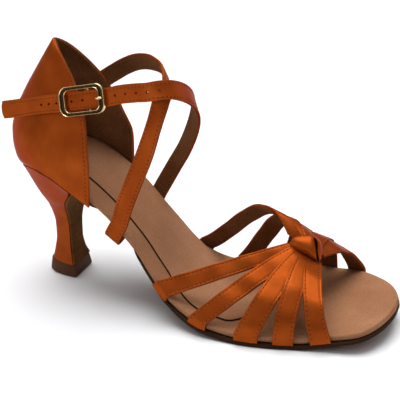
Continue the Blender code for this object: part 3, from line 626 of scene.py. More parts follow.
def woven_satin(name, dark, mid, light, roughness):
    """Polyester satin: long floats give it a soft coloured gloss along the cloth, over a fine twill.

    The real floats are 0.15 mm apart. They are drawn 0.55 mm apart, so that the render shows them.
    """
    material, tree, shader = new_material(name, Metallic=0.45, Specular_IOR_Level=0.04)
    shader.inputs["Specular Tint"].default_value = linear("#D08050")
    uv = add(tree, "ShaderNodeUVMap", uv_map="cloth").outputs["UV"]
    place = add(tree, "ShaderNodeTexCoord").outputs["Object"]
    turned = add(tree, "ShaderNodeMapping", {0: uv, "Rotation": (0, 0, radians(32)), "Scale": (1.8, 1.8, 1)})
    floats = add(
        tree,
        "ShaderNodeTexWave",
        {0: turned.outputs[0], "Scale": 0.318, "Distortion": 1.2, "Detail": 1.0, "Detail Scale": 2.0},
        wave_type="BANDS",
        bands_direction="Y",
        wave_profile="SIN",
    )
    slub_place = add(tree, "ShaderNodeMapping", {0: uv, "Scale": (0.3, 1.3, 1)})
    slub = add(tree, "ShaderNodeTexNoise", {0: slub_place.outputs[0], "Scale": 1.0, "Detail": 3.0})
    cloud = add(tree, "ShaderNodeTexNoise", {0: place, "Scale": 95.0, "Detail": 2.0, "Roughness": 0.45})
    mix = add(tree, "ShaderNodeMix", {0: 0.25, 2: cloud.outputs[0], 3: slub.outputs[0]}, data_type="FLOAT")
    colour = ramp(tree, mix.outputs[0], (0.30, dark), (0.50, mid), (0.72, light))
    tree.links.new(colour, shader.inputs["Base Color"])
    spread = {0: slub.outputs[0], 1: 0.3, 2: 0.7, 3: roughness - 0.05, 4: roughness + 0.06}
    rough = add(tree, "ShaderNodeMapRange", spread)
    tree.links.new(rough.outputs[0], shader.inputs["Roughness"])
    weave = add(tree, "ShaderNodeBump", {"Strength": 0.16, "Distance": 0.00012, "Height": floats.outputs[1]})
    swell = {"Strength": 0.36, "Distance": 0.0006, "Height": cloud.outputs[0], "Normal": weave.outputs[0]}
    cloth = add(tree, "ShaderNodeBump", swell)
    tree.links.new(cloth.outputs[0], shader.inputs["Normal"])
    return material


def napped(name, dark, mid, light, grain, strength, sheen, patch=55.0):
    """Suede or microfibre: a short nap that scatters light, brushed lighter and darker in patches."""
    material, tree, shader = new_material(name, Roughness=0.92, Sheen_Weight=sheen, Sheen_Roughness=0.6)
    shader.inputs["Specular IOR Level"].default_value = 0.05
    shader.inputs["Sheen Tint"].default_value = linear(light)
    place = add(tree, "ShaderNodeTexCoord").outputs["Object"]
    brushed = add(tree, "ShaderNodeTexNoise", {0: place, "Scale": patch, "Detail": 3.0, "Roughness": 0.55})
    nap = add(tree, "ShaderNodeTexNoise", {0: place, "Scale": grain, "Detail": 4.0, "Roughness": 0.7})
    mix = add(tree, "ShaderNodeMix", {0: 0.6, 2: brushed.outputs[0], 3: nap.outputs[0]}, data_type="FLOAT")
    colour = ramp(tree, mix.outputs[0], (0.34, dark), (0.50, mid), (0.66, light))
    tree.links.new(colour, shader.inputs["Base Color"])
    bump = add(tree, "ShaderNodeBump", {"Strength": strength, "Distance": 0.0003, "Height": nap.outputs[0]})
    tree.links.new(bump.outputs[0], shader.inputs["Normal"])
    return material


def plain(name, colour, roughness, grain=900.0, strength=0.15, **constants):
    """A smooth material with a fine unevenness."""
    material, tree, shader = new_material(name, Roughness=roughness, **constants)
    shader.inputs["Base Color"].default_value = linear(colour)
    place = add(tree, "ShaderNodeTexCoord").outputs["Object"]
    noise = add(tree, "ShaderNodeTexNoise", {0: place, "Scale": grain, "Detail": 3.0})
    bump = add(tree, "ShaderNodeBump", {"Strength": strength, "Distance": 0.0002, "Height": noise.outputs[0]})
    tree.links.new(bump.outputs[0], shader.inputs["Normal"])
    return material


# Copper satin of the upper: a soft gloss, darker where the floats turn away.
SATIN = woven_satin("copper_satin", "#8A3B10", "#974314", "#A54C1A", 0.345)
# The folded edges of the satin, darkened with painted shade where the straps step over each other.
SATIN_EDGE_PAINTED_SHADE = woven_satin("copper_satin_edge_painted_shade", "#66290C", "#743310", "#844016", 0.45)
# The same satin pasted over the heel, a little flatter.
HEEL_SATIN = woven_satin("copper_satin_on_heel", "#8A3D16", "#97461A", "#A44F20", 0.38)
# Dark brown microsuede inside the upper.
LINING = napped("brown_microsuede_lining", "#52301A", "#6E4528", "#885D3B", 1500.0, 0.35, 0.2)
# Tan microfibre cover of the insole, brushed in patches.
INSOLE_COVER = napped("tan_microfibre_insole", "#8C5F42", "#9C6D4E", "#AC7E5F", 1300.0, 0.30, 0.12, 40.0)
# The sock lining: the same cloth with its nap brushed the other way.
SOCK_COVER = napped("tan_microfibre_sock", "#8E6044", "#9F7051", "#AF8162", 1400.0, 0.30, 0.12, 34.0)
# Chrome suede of the sole and of the flap on the breast, brushed rough for grip on a dance floor.
SOLE_SUEDE = napped("brushed_chrome_suede", "#442610", "#603C1A", "#80562A", 1100.0, 0.8, 0.0)
# Dark brown edges of the sole and of the sock.
DARK_BROWN_EDGE = plain("dark_brown_edge", "#301D10", 0.8, Specular_IOR_Level=0.1)
# Polyurethane top piece, moulded, with a dull skin.
TOP_PIECE = plain("moulded_polyurethane", "#52301A", 0.6, 700.0, 0.25, Specular_IOR_Level=0.15)
# Gilt on a cast zinc buckle, polished bright.
GILT = plain("polished_gilt_zinc", "#E6CB96", 0.18, 260.0, 0.04, Metallic=1.0)
# The recessed band of the frame: gilding darkened with a painted dark reflection of the dim room.
GILT_PAINTED_DARK_REFLECTION = plain("gilt_zinc_painted_dark_reflection", "#3A2A18", 0.3, 260.0, 0.04, Metallic=1.0)
# Tonal polyester thread of the satin, and brown thread of the lining.
THREAD = plain("copper_polyester_thread", "#9C4C1E", 0.5, 2500.0, 0.3, Specular_IOR_Level=0.2)
LINING_THREAD = plain("brown_polyester_thread", "#7A5536", 0.6, 2500.0, 0.3, Specular_IOR_Level=0.2)
# The holes that the needle leaves, and the depth of the knot's slit: dark beads and a dark sheet of painted
# shade, so dark that no thread shows.
PAINTED_SHADE_DARK = plain("painted_shade_of_holes_and_slit", "#3E1806", 0.9, Specular_IOR_Level=0.1)


def soft_section(corners, radius, across, crown):
    """A sheet's section from its four corners: rounded edges, and faces that are crowned by so much."""
    corners = [np.asarray(c, float) for c in corners]
    centre = sum(corners) / 4
    points = []
    for i, corner in enumerate(corners):
        before, after = corners[i - 1], corners[(i + 1) % 4]
        reach = [min(radius, 0.49 * np.linalg.norm(other - corner)) for other in (before, after)]
        start = corner + unit(before - corner) * reach[0]
        end = corner + unit(after - corner) * reach[1]
        for t in (0.0, 0.3, 0.7, 1.0):
            points.append((1 - t) ** 2 * start + 2 * t * (1 - t) * corner + t * t * end)
        if i % 2 == 0:
            following = corners[(i + 1) % 4]
            far = following + unit(corner - following) * min(radius, 0.49 * np.linalg.norm(corner - following))
            lift = unit((corner + following) / 2 - centre) * crown[i // 2]
            for k in range(1, across):
                s = k / across
                points.append(end + (far - end) * s + lift * (1 - (2 * s - 1) ** 2))
    return points


def sheet_corners(along, top, bottom, lateral, medial):
    (x_top, z_top), (x_low, z_low) = sole_point(along, top), sole_point(along, bottom)
    least = 0.6
    outer, inner = -max(lateral, least), max(medial, least)
    return [(x_top, outer, z_top), (x_top, inner, z_top), (x_low, inner, z_low), (x_low, outer, z_low)]


def build_insole():
    """The covered board: its cover is pulled round a padded edge."""
    rings = []
    for along in sole_stations(0.0012, 0.9988):
        halves = half_width(along, LATERAL), half_width(along, MEDIAL)
        corners = sheet_corners(along, 0.0, INSOLE_THICKNESS, *halves)
        rings.append(soft_section(corners, radius=0.9, across=16, crown=(0.15, 0.0)))
    keep(loft("insole_cover", rings, [INSOLE_COVER]), "insole_cover", "insole")


def build_sock():
    """The rear sock: a thin sheet with a darker edge, stuck on the insole."""
    pressed, sunk = 0.15, 0.1
    rings = []
    for along in sole_stations(SOCK[0].along, SOCK[-1].along):
        halves = [BALL_WIDTH * read(SOCK, name, along) for name in ("lateral", "medial")]
        corners = sheet_corners(along, pressed - CLEARANCE - SOCK_THICKNESS, sunk, *halves)
        rings.append(soft_section(corners, radius=0.22, across=16, crown=(0.1, 0.0)))
    count = len(rings[0])
    # The columns of the section that lie on its two edges.
    edge = [1 if 20 <= i <= 22 or i >= count - 1 or i < 2 else 0 for i in range(count)]
    keep(loft("sock_lining", rings, [SOCK_COVER, DARK_BROWN_EDGE], edge), "sock_lining", "sock")


def outsole_half(along, side):
    """The outsole's half width: it steps in where an ankle strap is tucked under the insole."""
    root = CROSS_ROOT if side == LATERAL else BUCKLE_ROOT
    reach = (along - root.along) * INSOLE_LENGTH / STRAP_WIDTH
    recess = (ROOT_TUCK + STRAP_THICKNESS + STRAP_OFF) * np.exp(-(reach**4) / 2)
    return half_width(along, side) + STRAP_MARGIN * read(SOLE, "margin", along) - recess


def half_angles(count):
    return [pi / 2 * (i / count - 1) for i in range(2 * count + 1)]


def seat_ring(front, outside, height, angles):
    """The insole's outline round the heel, so far outside it, at the height for each share."""
    ring = []
    for angle in angles:
        along = x_to_along(front - (front + SEAT_BACK) * cos(angle))
        edge, out = edge_frame(along, LATERAL if angle < 0 else MEDIAL)
        point = edge + out * outside if abs(angle) > 1e-6 else Vector((-SEAT_BACK - outside, 0, 0))
        ring.append((point.x, point.y, height(along)))
    return ring


def heel_rings():
    """The heel's rings from the top piece to its rim, on fair curves through the part's sections."""
    angles = half_angles(40)
    base = HEEL_TIP_HEIGHT + CLEARANCE
    height = rim_height(0.0) - base
    rings = []
    for row in HEEL:
        back, front, half = row.back * HEEL_TIP_LENGTH, row.front * HEEL_TIP_LENGTH, row.half * HEEL_TIP_WIDTH
        high, low = base + row.up * height, base + (row.up - row.dip) * height
        ring = []
        for angle in angles:
            x = front - (front - back) * cos(angle)
            ring.append((x, half * sin(angle), high + (low - high) * (x - back) / (front - back)))
        rings.append(ring)
    rings.append(seat_ring(BREAST_REACH, SEAM_GAP + COUNTER_WALL, rim_height, angles))
    rings = np.array(rings)
    places = lengths_along(rings[:, 0] * (1, 0, 1))
    return places, rings, fair(places, rings, np.linspace(0, places[-1], HEEL_ROWS))


def build_heel():
    """The heel in its satin cover, which turns round both edges of the breast."""
    angles = half_angles(40)
    _, _, rings = heel_rings()
    inner = [seat_ring(BREAST_REACH, -CLEARANCE, height, angles) for height in (rim_height, under_board)]
    rings = np.concatenate([rings, np.array(inner)])
    cover = loft("heel_cover", rings, [HEEL_SATIN], sharp=45)
    keep(cover, "heel_satin", "heel_block")


def build_outsole():
    """The suede sole with its softened edge, and its flap down the heel's breast."""
    top, flap_rows = INSOLE_THICKNESS + CLEARANCE, 80
    breast, bend = x_to_along(BREAST_REACH), 0.02
    corners = []
    for along in sole_stations(breast + bend, 0.9985)[::-1]:
        halves = outsole_half(along, LATERAL), outsole_half(along, MEDIAL)
        corners.append(sheet_corners(along, top, top + OUTSOLE_THICKNESS, *halves))
    places, rings, _ = heel_rings()
    line = rings[:, 0] * (1, -1, 1)
    line[-1] = BREAST_REACH, half_width(breast, LATERAL) - FLAP_INSET, under_board(breast) - BREAST_DROP
    line = fair(places, line, np.linspace(0, places[-1], flap_rows))[::-1]
    for i, (x, half, z) in enumerate(line):
        before, after = line[max(i - 1, 0)], line[min(i + 1, len(line) - 1)]
        turn = -atan2(before[0] - after[0], before[2] - after[2])
        normal = np.array((cos(turn), 0, sin(turn)))
        inner = np.array((x, 0, z)) + normal * CLEARANCE
        outer = inner + normal * FLAP_THICKNESS
        four = ((inner, -half), (inner, half), (outer, half), (outer, -half))
        corners.append([(p[0], y, p[2]) for p, y in four])
    rings = [soft_section(row, radius=0.45, across=10, crown=(0.0, 0.15)) for row in corners]
    count = len(rings[0])
    # The columns on the section's two sides and on the margins next to them are dark brown. The flap's aren't.
    edge = [1 if 12 <= i <= 18 or i >= count - 3 or i < 4 else 0 for i in range(count)]
    sole = loft("suede_sole", rings, [SOLE_SUEDE, DARK_BROWN_EDGE], edge, sharp=50)
    for face in sole.data.polygons[(len(rings) - len(line)) * count : (len(rings) - 1) * count]:
        face.material_index = 0
    keep(sole, "suede_sole", "outsole")


def build_top_piece():
    rings = []
    for row in TIP:
        length, half = HEEL_TIP_LENGTH * row.size, HEEL_TIP_WIDTH / 2 * row.size
        rings.append(
            [(length / 2 - length * cos(a) ** TIP_SQUARENESS, half * sin(a), row.up) for a in half_angles(40)]
        )
    keep(loft("top_piece", rings, [TOP_PIECE], sharp=35), "top_piece", "heel_tip")


def clear_of_insole(point, outside):
    """Moves a low point of the counter's wall out sideways, so far outside the insole's edge."""
    x, y, z = point
    along = x_to_along(x)
    above = z - insole_top(along)
    if along <= 0 or above > SEAT_EASE:
        return point
    side = MEDIAL if y > 0 else LATERAL
    reach = half_width(along, side) + outside - SEAT_LEAN * max(above, 0.0)
    return x, side * max(abs(y), reach), z


def counter_ring(row, wall, angles):
    back, front = row.back * COUNTER_LENGTH, row.front * COUNTER_LENGTH
    least = 0.2
    depth = max(front - back - wall, least * (front - back))
    reach = max(row.half * COUNTER_WIDTH - wall, least * row.half * COUNTER_WIDTH)
    height = SEAT_HEIGHT + row.over * COUNTER_RISE
    return [(front - depth * cos(a), reach * sin(a), height) for a in angles]


# Extra columns close to the counter's open edges: how far from the edge each one is.
EDGE_STEPS = (0.0, 0.45, 0.9, 1.3, 1.7, 2.1, 2.6, 3.3, 4.2)


def edge_angles(count, reach):
    """Angles round a horseshoe, with the extra columns close to both of its open ends."""
    near = [pi / 2 - step / reach for step in EDGE_STEPS]
    inside = np.linspace(-near[-1], near[-1], count)[1:-1]
    return [-a for a in near] + list(inside) + near[::-1]


def counter_faces():
    """The counter's outer and inner faces as grids of points, from the seam to the peak."""
    angles, crowding = edge_angles(84, COUNTER_LENGTH), 1.15
    grids = []
    for wall in (0.0, COUNTER_WALL):
        outside = SEAM_GAP + COUNTER_WALL - wall
        seam = seat_ring(COUNTER_FRONT, outside, seam_height, angles)
        first = counter_ring(COUNTER[0], wall, angles)
        rings = [seam]
        for row in SEAM_EASE:
            share = (row.plan, row.plan, row.rise)
            rings.append([[a + (b - a) * s for a, b, s in zip(p, q, share)] for p, q in zip(seam, first)])
        rings += [counter_ring(row, wall, angles) for row in COUNTER]
        grids.append([[clear_of_insole(point, outside) for point in ring] for ring in rings])
    outer, inner = np.array(grids)
    places = lengths_along(outer[:, 0])
    fine = places[-1] * (1 - (1 - np.linspace(0, 1, COUNTER_ROWS)) ** crowding)
    return fair(places, outer, fine), fair(places, inner, fine)


def wall_skin(name, face, back, depth, steps, over, material):
    """A skin on a wall: its face, its back, and a rounded rim at each of its two open edges.

    The rims turn from the first sheet of points in over by so much of the way to the second.
    """
    outer, inner = over
    span = inner - outer
    bulge = np.linalg.norm(span, axis=-1, keepdims=True) / 4 * np.array((1.0, 0.0, 0.0))
    turns = [pi * i / steps for i in range(1, steps)]
    rim = [outer + span * depth * (1 - cos(a)) / 2 + bulge * sin(a) for a in turns]
    rings = []
    for r in range(COUNTER_ROWS):
        front, rear = [points[r, -1] for points in rim], [points[r, 0] for points in rim]
        rings.append([*face[r], *front, *back[r, ::-1], *rear[::-1]])
    return loft(name, rings, [material], sharp=60)


def build_counter():
    """The satin back of the upper, turned round the collar's edge, and the lining inside it."""
    outer, inner = counter_faces()
    span = inner - outer
    turned, under, shy = 0.58, 0.62, 0.1
    trough = np.zeros(outer.shape[1])
    trough[[2, 3, -4, -3]] = 0.05
    face = outer + span * trough[:, None]
    satin = wall_skin("counter_satin", face, outer + span * under, turned, 7, (outer, inner), SATIN)
    keep(satin, "satin", "upper_counter")

    hidden, lining = outer + span * turned, outer + span
    for sheet in (hidden, lining):
        sheet[:, [0, -1], 0] -= shy
    keep(wall_skin("counter_lining", hidden, lining, 1.0, 4, (hidden, lining), LINING))
    sewn = slice(2, COUNTER_ROWS - 3)
    return [face[sewn, k] for k in (3, -4)], [(lining + span * 0.02)[sewn, k] for k in (4, -5)]


def edge_direction(row):
    turn, tilt = radians(row.turn), radians(row.tilt)
    return Vector((cos(turn) * cos(tilt), sin(turn) * cos(tilt), sin(tilt)))


def foot_point(row):
    height = insole_top(row.along) + row.over * COUNTER_RISE
    return Vector((along_to_x(row.along), row.across * BALL_WIDTH, height))


def counter_point(row):
    height = SEAT_HEIGHT + row.up * COUNTER_RISE
    return Vector((row.reach * COUNTER_LENGTH, row.beside * COUNTER_WIDTH, height))


def root_points(root):
    """The tucked end of an ankle strap: from under the insole, down, round and up past its edge."""
    edge_point, out = edge_frame(root.along, root.side)
    lean, slope = radians(root.lean), sole_slope(root.along)
    up = Vector((sin(lean), 0, cos(lean)))
    front = Vector((cos(lean), -cos(lean) * out.x / out.y, -sin(lean))).normalized()
    flat = Vector((1, -out.x / out.y, slope)).normalized()
    start = Vector((*edge_point.xy, below_insole(root.along, INSOLE_THICKNESS)))
    outside = STRAP_OFF + ROOT_EASE
    lines = (
        (-ROOT_TUCK, -STRAP_OFF - 2 * ROOT_EASE, flat),
        (-ROOT_TUCK + ROOT_EASE, ROOT_TURN - ROOT_HANG, flat),
        (outside - ROOT_TURN, -ROOT_HANG, (flat + front).normalized()),
        (outside, ROOT_TURN - ROOT_HANG, front),
        (outside, 0.0, front),
        (outside, INSOLE_THICKNESS + ROOT_RISE, front),
    )
    return [start + out * reach + up * rise for reach, rise, _ in lines], [edge for _, _, edge in lines]


def smooth_path(points, count):
    """Evenly spaced points on a Catmull-Rom curve through the given ones, and their places on it."""
    chain = [2 * points[0] - points[1], *points, 2 * points[-1] - points[-2]]
    fine = []
    for before, start, end, after in zip(chain, chain[1:], chain[2:], chain[3:]):
        bend = 2 * before - 5 * start + 4 * end - after
        twist = 3 * start - before - 3 * end + after
        for i in range(CURVE_STEPS):
            t = i / CURVE_STEPS
            fine.append(0.5 * (2 * start + (end - before) * t + bend * t**2 + twist * t**3))
    fine.append(chain[-2])
    length = lengths_along(fine)
    marks = np.linspace(0, length[-1], count)
    places = np.interp(marks, length, np.linspace(0, len(points) - 1, len(fine)))
    return at_marks(fine, length, marks), places


def ankle_strap(root, over_foot, at_counter):
    """The middle line, the half width to the front edge and the outward direction of a strap."""
    points, edges = root_points(root)
    points += [foot_point(row) for row in over_foot] + [counter_point(row) for row in at_counter]
    edges += [edge_direction(row) for row in over_foot + at_counter]
    path, places = smooth_path(points, STRAP_ROWS)
    tangent = unit(np.gradient(path, axis=0))
    edge = fair(np.arange(len(edges)), np.array([tuple(e) for e in edges]), places)
    edge = unit(edge - tangent * (edge * tangent).sum(axis=1, keepdims=True))
    normal = np.cross(tangent, edge) * root.side
    return path, edge * STRAP_WIDTH / 2, np.zeros_like(path), normal


def section_ring(frame_rows, share, inset, lift):
    """Points of a strap at a share of its half width less an inset, and at a height over its middle."""
    path, half, bow, normal = frame_rows
    width = np.linalg.norm(half, axis=1, keepdims=True)
    s = share * (1 - inset / width)
    return path + half * s + bow * s * s + normal * lift


def strap_skin(name, frame_rows, section, material, edge=None):
    """A strap's cover or lining. Its outermost columns may have a material of their own, a darker satin of
    painted shade.
    """
    columns = [section_ring(frame_rows, row.share, row.inset, row.lift) for row in section]
    mirror = [section_ring(frame_rows, -row.share, row.inset, row.lift) for row in section[:-1]][::-1]
    # The columns round the folded edges take the edge material: painted shade along the edges.
    picks = [1 if row.inset < 0.1 and row.share == 1 else 0 for row in section]
    picks = picks + picks[:-1][::-1]
    picks = [a and b for a, b in zip(picks, picks[1:] + picks[:1])]
    materials = [material, edge] if edge else [material]
    return loft(name, np.stack(columns + mirror, axis=1), materials, picks if edge else None, sharp=50)


def strap_stitches(frame_rows, start, end):
    """The stitch lines along both edges, on the face and on the lining."""
    face, back = [], []
    for share in (-1, 1):
        face.append(section_ring(frame_rows, share, STITCH_INSET, 0.72)[start:end])
        back.append(section_ring(frame_rows, share, STITCH_INSET, -0.83)[start:end])
    return face, back


def neck_point(share, side, lift):
    rear, front = NECK
    along, across, up = (a + (b - a) * share for a, b in zip(rear, front))
    lift += NECK_RISE if side == MEDIAL else 0.0
    return Vector((along_to_x(along), across * BALL_WIDTH + side * NECK_REACH, up * KNOT_HEIGHT + lift))


def base_points(along, side):
    edge, out = edge_frame(along, side)
    place = edge + out * STRAP_OFF
    points = []
    for depth in (INSOLE_THICKNESS - FAN_FOOT, -FAN_LEAD):
        x, z = sole_point(along, depth)
        points.append(Vector((place.x + x - along_to_x(along), place.y, z)))
    return points


def fan_rail(base, top, bow, crest, t):
    angle = t * pi / 2
    arch = Vector((t, 1 - cos(angle), sin(angle)))
    span = top - base
    point = base.lerp(top, t).lerp(base + Vector([a * s for a, s in zip(arch, span)]), bow)
    hump = 27 / 4 * t * t * (1 - t)
    point.z += crest * KNOT_HEIGHT * hump
    return point


def fan_strap(row, lift):
    """One strap of the fan, from beside the insole over to the neck, in the soft waves of worn satin."""
    spread = NECK_STRAP_WIDTH / 2 / ((NECK[1].along - NECK[0].along) * INSOLE_LENGTH)
    middle = (row.rear + row.front) / 2
    steps = [i / FAN_ROWS for i in range(1, FAN_ROWS + 1)]
    rails = []
    for along, ahead in ((row.rear, -1), (middle, 0), (row.front, 1)):
        place, crest = row.neck + ahead * spread, row.crest - ahead * row.droop
        foot, head = base_points(along, row.side)
        top = neck_point(place, row.side, lift)
        lead = [foot.lerp(head, k / 3) for k in range(4)]
        rails.append([tuple(p) for p in lead + [fan_rail(head, top, row.bow, crest, t) for t in steps]])
    back, centre, fore = np.array(rails)
    out = np.array(edge_frame(middle, row.side)[1])
    run = np.gradient(centre, axis=0)
    normal = unit(np.cross(run, fore - back))
    share = np.linspace(0, 1, len(centre))[:, None]
    outward = out * (1 - share) + np.array((0.0, 0.0, 1.0)) * share
    normal = np.where((normal * outward).sum(axis=1, keepdims=True) < 0, -normal, normal)
    normal[0] = out
    half, bow = (fore - back) / 2, (fore + back) / 2 - centre
    waves = np.sin(2 * pi * (lengths_along(centre) / RIPPLE_LENGTH + 7 * middle))[:, None]
    centre = centre + normal * RIPPLE_HEIGHT * waves * np.sin(pi * share)
    return centre, half, bow, normal


def build_fan():
    """Ten straps in pleats: each lies over the one in front of it, and all run under the knot."""
    face_lines, back_lines = [], []
    for i, row in enumerate(FAN):
        rows = fan_strap(row, PLEAT_HEIGHT * (2 - i % 5))
        label = f"{'outer' if row.side == LATERAL else 'inner'}_fan_strap_{i % 5 + 1}"
        cover = strap_skin(label, rows, COVER_SECTION, SATIN, SATIN_EDGE_PAINTED_SHADE)
        keep(cover, "satin", *(["upper_vamp"] if i == 0 else []))
        keep(strap_skin(label + "_lining", rows, LINING_SECTION, LINING))
        face, back = strap_stitches(rows, 2, FAN_ROWS)
        face_lines += face
        back_lines += back
    return face_lines, back_lines


def knot_fold(name, table_rows, material):
    """A fold of the knot's satin: swollen sections between the two edges that its table gives."""
    rows, across, fullness = 64, 28, 0.62
    coarse = np.array([tuple(row) for row in table_rows])
    given = lengths_along((coarse[:, :3] + coarse[:, 3:6]) / 2)
    fine = fair(given, coarse, np.linspace(0, given[-1], rows))
    t = np.linspace(0, 1, across)
    rings = []
    for row in fine:
        low, high, swell, back = row[:3], row[3:6], row[6], row[7]
        line = low + (high - low) * t[:, None]
        arch = np.sin(pi * t)[:, None] ** fullness * np.array((0.0, 0.0, 1.0))
        rings.append(np.concatenate([line + arch * swell, (line - arch * back)[::-1][1:-1]]))
    rings = np.array(rings)
    turn, lean = radians(KNOT_TURN), radians(KNOT_LEAN)
    ahead = np.array((cos(turn), sin(turn), 0.0))
    out = np.array((sin(turn) * cos(lean), -cos(turn) * cos(lean), sin(lean)))
    up = np.cross(out, ahead)
    centre = np.array((along_to_x(KNOT_ALONG), KNOT_ACROSS * BALL_WIDTH, KNOT_UP * KNOT_HEIGHT))
    points = centre + rings @ np.stack([ahead, up, out])
    return keep(loft(name, points, [material], sharp=80, ends="poles"), "satin")


def build_knot():
    """The band that wraps the neck: pointed at its rear corner, with a deep slit before its rim, whose depth is
    a sheet of painted shade.
    """
    knot_fold("knot_wrap", KNOT_WRAP, SATIN)
    knot_fold("knot_rim", KNOT_RIM, SATIN)
    # The slit's depth is painted shade.
    knot_fold("knot_slit", KNOT_CORE, PAINTED_SHADE_DARK)


def buckle_matrix(offset=0.0):
    """Local x to the toe, y up, z outwards, in mm, so far outside the strap's middle."""
    rear, centre, front = (counter_point(BUCKLE_AT_COUNTER[BUCKLE_ROW + i]) for i in (1, 0, -1))
    ahead = (front - rear).normalized()
    down = edge_direction(BUCKLE_AT_COUNTER[BUCKLE_ROW])
    down = (down - ahead * down.dot(ahead)).normalized()
    outward = ahead.cross(-down)
    place = Matrix((ahead, -down, outward)).transposed().to_4x4()
    place.translation = centre + outward * offset
    return place


def placed(matrix, points):
    points = np.asarray(points, float)
    turn, move = np.array(matrix.to_3x3()), np.array(matrix.translation)
    return points @ turn.T + move


def rounded_outline(width, height, radius, steps=10):
    points = []
    for corner, (sx, sy) in enumerate(((1, 1), (-1, 1), (-1, -1), (1, -1))):
        x, y = sx * (width / 2 - radius), sy * (height / 2 - radius)
        for i in range(steps + 1):
            angle = pi / 2 * (corner + i / steps)
            points.append((x + radius * cos(angle), y + radius * sin(angle)))
    return points


# The cast frame's section from its outer side to its window: share of the way across, and height in mm.
FRAME_SECTION = table(
    "share up",
    (0.00, -0.70),
    (0.00, 0.45),
    (0.03, 0.70),
    (0.08, 0.80),
    (0.14, 0.74),
    (0.18, 0.52),
    (0.24, 0.38),
    (0.50, 0.32),
    (0.78, 0.38),
    (0.84, 0.52),
    (0.88, 0.74),
    (0.94, 0.79),
    (0.98, 0.68),
    (1.00, 0.45),
    (1.00, -0.70),
    (0.90, -0.80),
    (0.10, -0.80),
)


def tube_rings(path, radius, sides=14):
    """Sections of a round bar along a path. radius may be one number for each point."""
    path = np.asarray(path, float)
    radius = np.broadcast_to(np.asarray(radius, float), (len(path),))
    tangent = unit(np.gradient(path, axis=0))
    side = np.cross(tangent, (0.0, 1.0, 0.0))
    side = np.where(np.linalg.norm(side, axis=1, keepdims=True) < 0.2, np.cross(tangent, (1.0, 0.0, 0.0)), side)
    side = unit(side)
    other = np.cross(tangent, side)
    turns = np.linspace(0, 2 * pi, sides, endpoint=False)
    return path[:, None] + radius[:, None, None] * (
        side[:, None] * np.cos(turns)[None, :, None] + other[:, None] * np.sin(turns)[None, :, None]
    )


def build_buckle():
    """The gilt frame with its two raised rims, the bar behind the strap, and the tongue."""
    outer = np.array(rounded_outline(BUCKLE_LENGTH, BUCKLE_HEIGHT, BUCKLE_CORNER))
    window = BUCKLE_LENGTH - 2 * BUCKLE_END_BAR, BUCKLE_HEIGHT - 2 * BUCKLE_SIDE_RAIL
    inner = np.array(rounded_outline(*window, BUCKLE_CORNER - BUCKLE_SIDE_RAIL))
    rings = [[(*(o + (i - o) * row.share), row.up) for row in FRAME_SECTION] for o, i in zip(outer, inner)]
    rings = placed(buckle_matrix(FRAME_OFFSET), rings)
    # The band between the two rims takes the dark gilt: a painted reflection of the dim room.
    band = [1 if 0.16 < row.share < 0.83 and row.up > 0 else 0 for row in FRAME_SECTION]
    cast = loft("buckle_frame_cast", rings, [GILT, GILT_PAINTED_DARK_REFLECTION], band, 50, "joined")
    keep(cast, "buckle_metal", "buckle_frame")

    leg = BUCKLE_HEIGHT / 2 - BUCKLE_SIDE_RAIL / 2
    bends = [(leg, FRAME_OFFSET), (leg, BAR_OFFSET + 1.6)]
    bends += [(leg - 0.3, BAR_OFFSET + 0.4), (leg - 1.2, BAR_OFFSET)]
    points = [(0, y, z) for y, z in bends] + [(0, -y, z) for y, z in bends[::-1]]
    path = placed(buckle_matrix(), points)
    keep(loft("buckle_bar", tube_rings(path, BAR_RADIUS), [GILT], ends="poles"), "buckle_metal")

    ring = BAR_RADIUS + CLEARANCE + PRONG_RADIUS
    turns = [radians(100 + 14 * i) for i in range(19)]
    over = STRAP_OFF + PRONG_RADIUS
    rest = FRAME_OFFSET + BUCKLE_THICKNESS / 2 + CLEARANCE + PRONG_RADIUS * 0.4
    end = BUCKLE_LENGTH / 2 - BUCKLE_END_BAR / 2
    line = [(ring * cos(angle), BAR_OFFSET + ring * sin(angle)) for angle in turns]
    line += [
        (ring + PRONG_RADIUS, BAR_OFFSET + BAR_RADIUS),
        (TONGUE_AHEAD - 2.2, -over),
        (TONGUE_AHEAD, over * 0.6),
        (end - BUCKLE_END_BAR * 0.55, rest),
        (end, rest),
        (end + 0.9, rest - 0.25),
    ]
    fine, _ = smooth_path([Vector((x, 0, z)) for x, z in line], 90)
    radius = np.full(len(fine), PRONG_RADIUS * 1.25)
    radius[-6:] *= (1.0, 0.98, 0.92, 0.8, 0.6, 0.3)
    rings = placed(buckle_matrix(), tube_rings(fine, radius))
    keep(loft("buckle_tongue", rings, [GILT], ends="poles"), "buckle_metal", "buckle_prong")


def build_tab():
    """The satin loop that holds the buckle's bar."""
    radius = BAR_RADIUS + CLEARANCE + TAB_THICKNESS / 2
    turns = [radians(-150 + 17 * i) for i in range(15)]
    points = [Vector((radius * cos(angle), 0, BAR_OFFSET + radius * sin(angle))) for angle in turns]
    flat = BAR_OFFSET + radius - CLEARANCE / 2
    points += [Vector((-TAB_LENGTH / 3, 0, flat)), Vector((-TAB_LENGTH, 0, flat - CLEARANCE))]
    path, _ = smooth_path(points, 60)
    place = buckle_matrix()
    turn = np.array(place.to_3x3())
    path = placed(place, path)
    half = np.broadcast_to(turn @ np.array((0, TAB_WIDTH / 2, 0)), path.shape)
    normal = np.cross(unit(np.gradient(path, axis=0)), half) / (TAB_WIDTH / 2) * TAB_THICKNESS / STRAP_THICKNESS
    rows = path, half, np.zeros_like(path), normal
    keep(strap_skin("buckle_loop", rows, COVER_SECTION, SATIN), "satin", "buckle_tab")


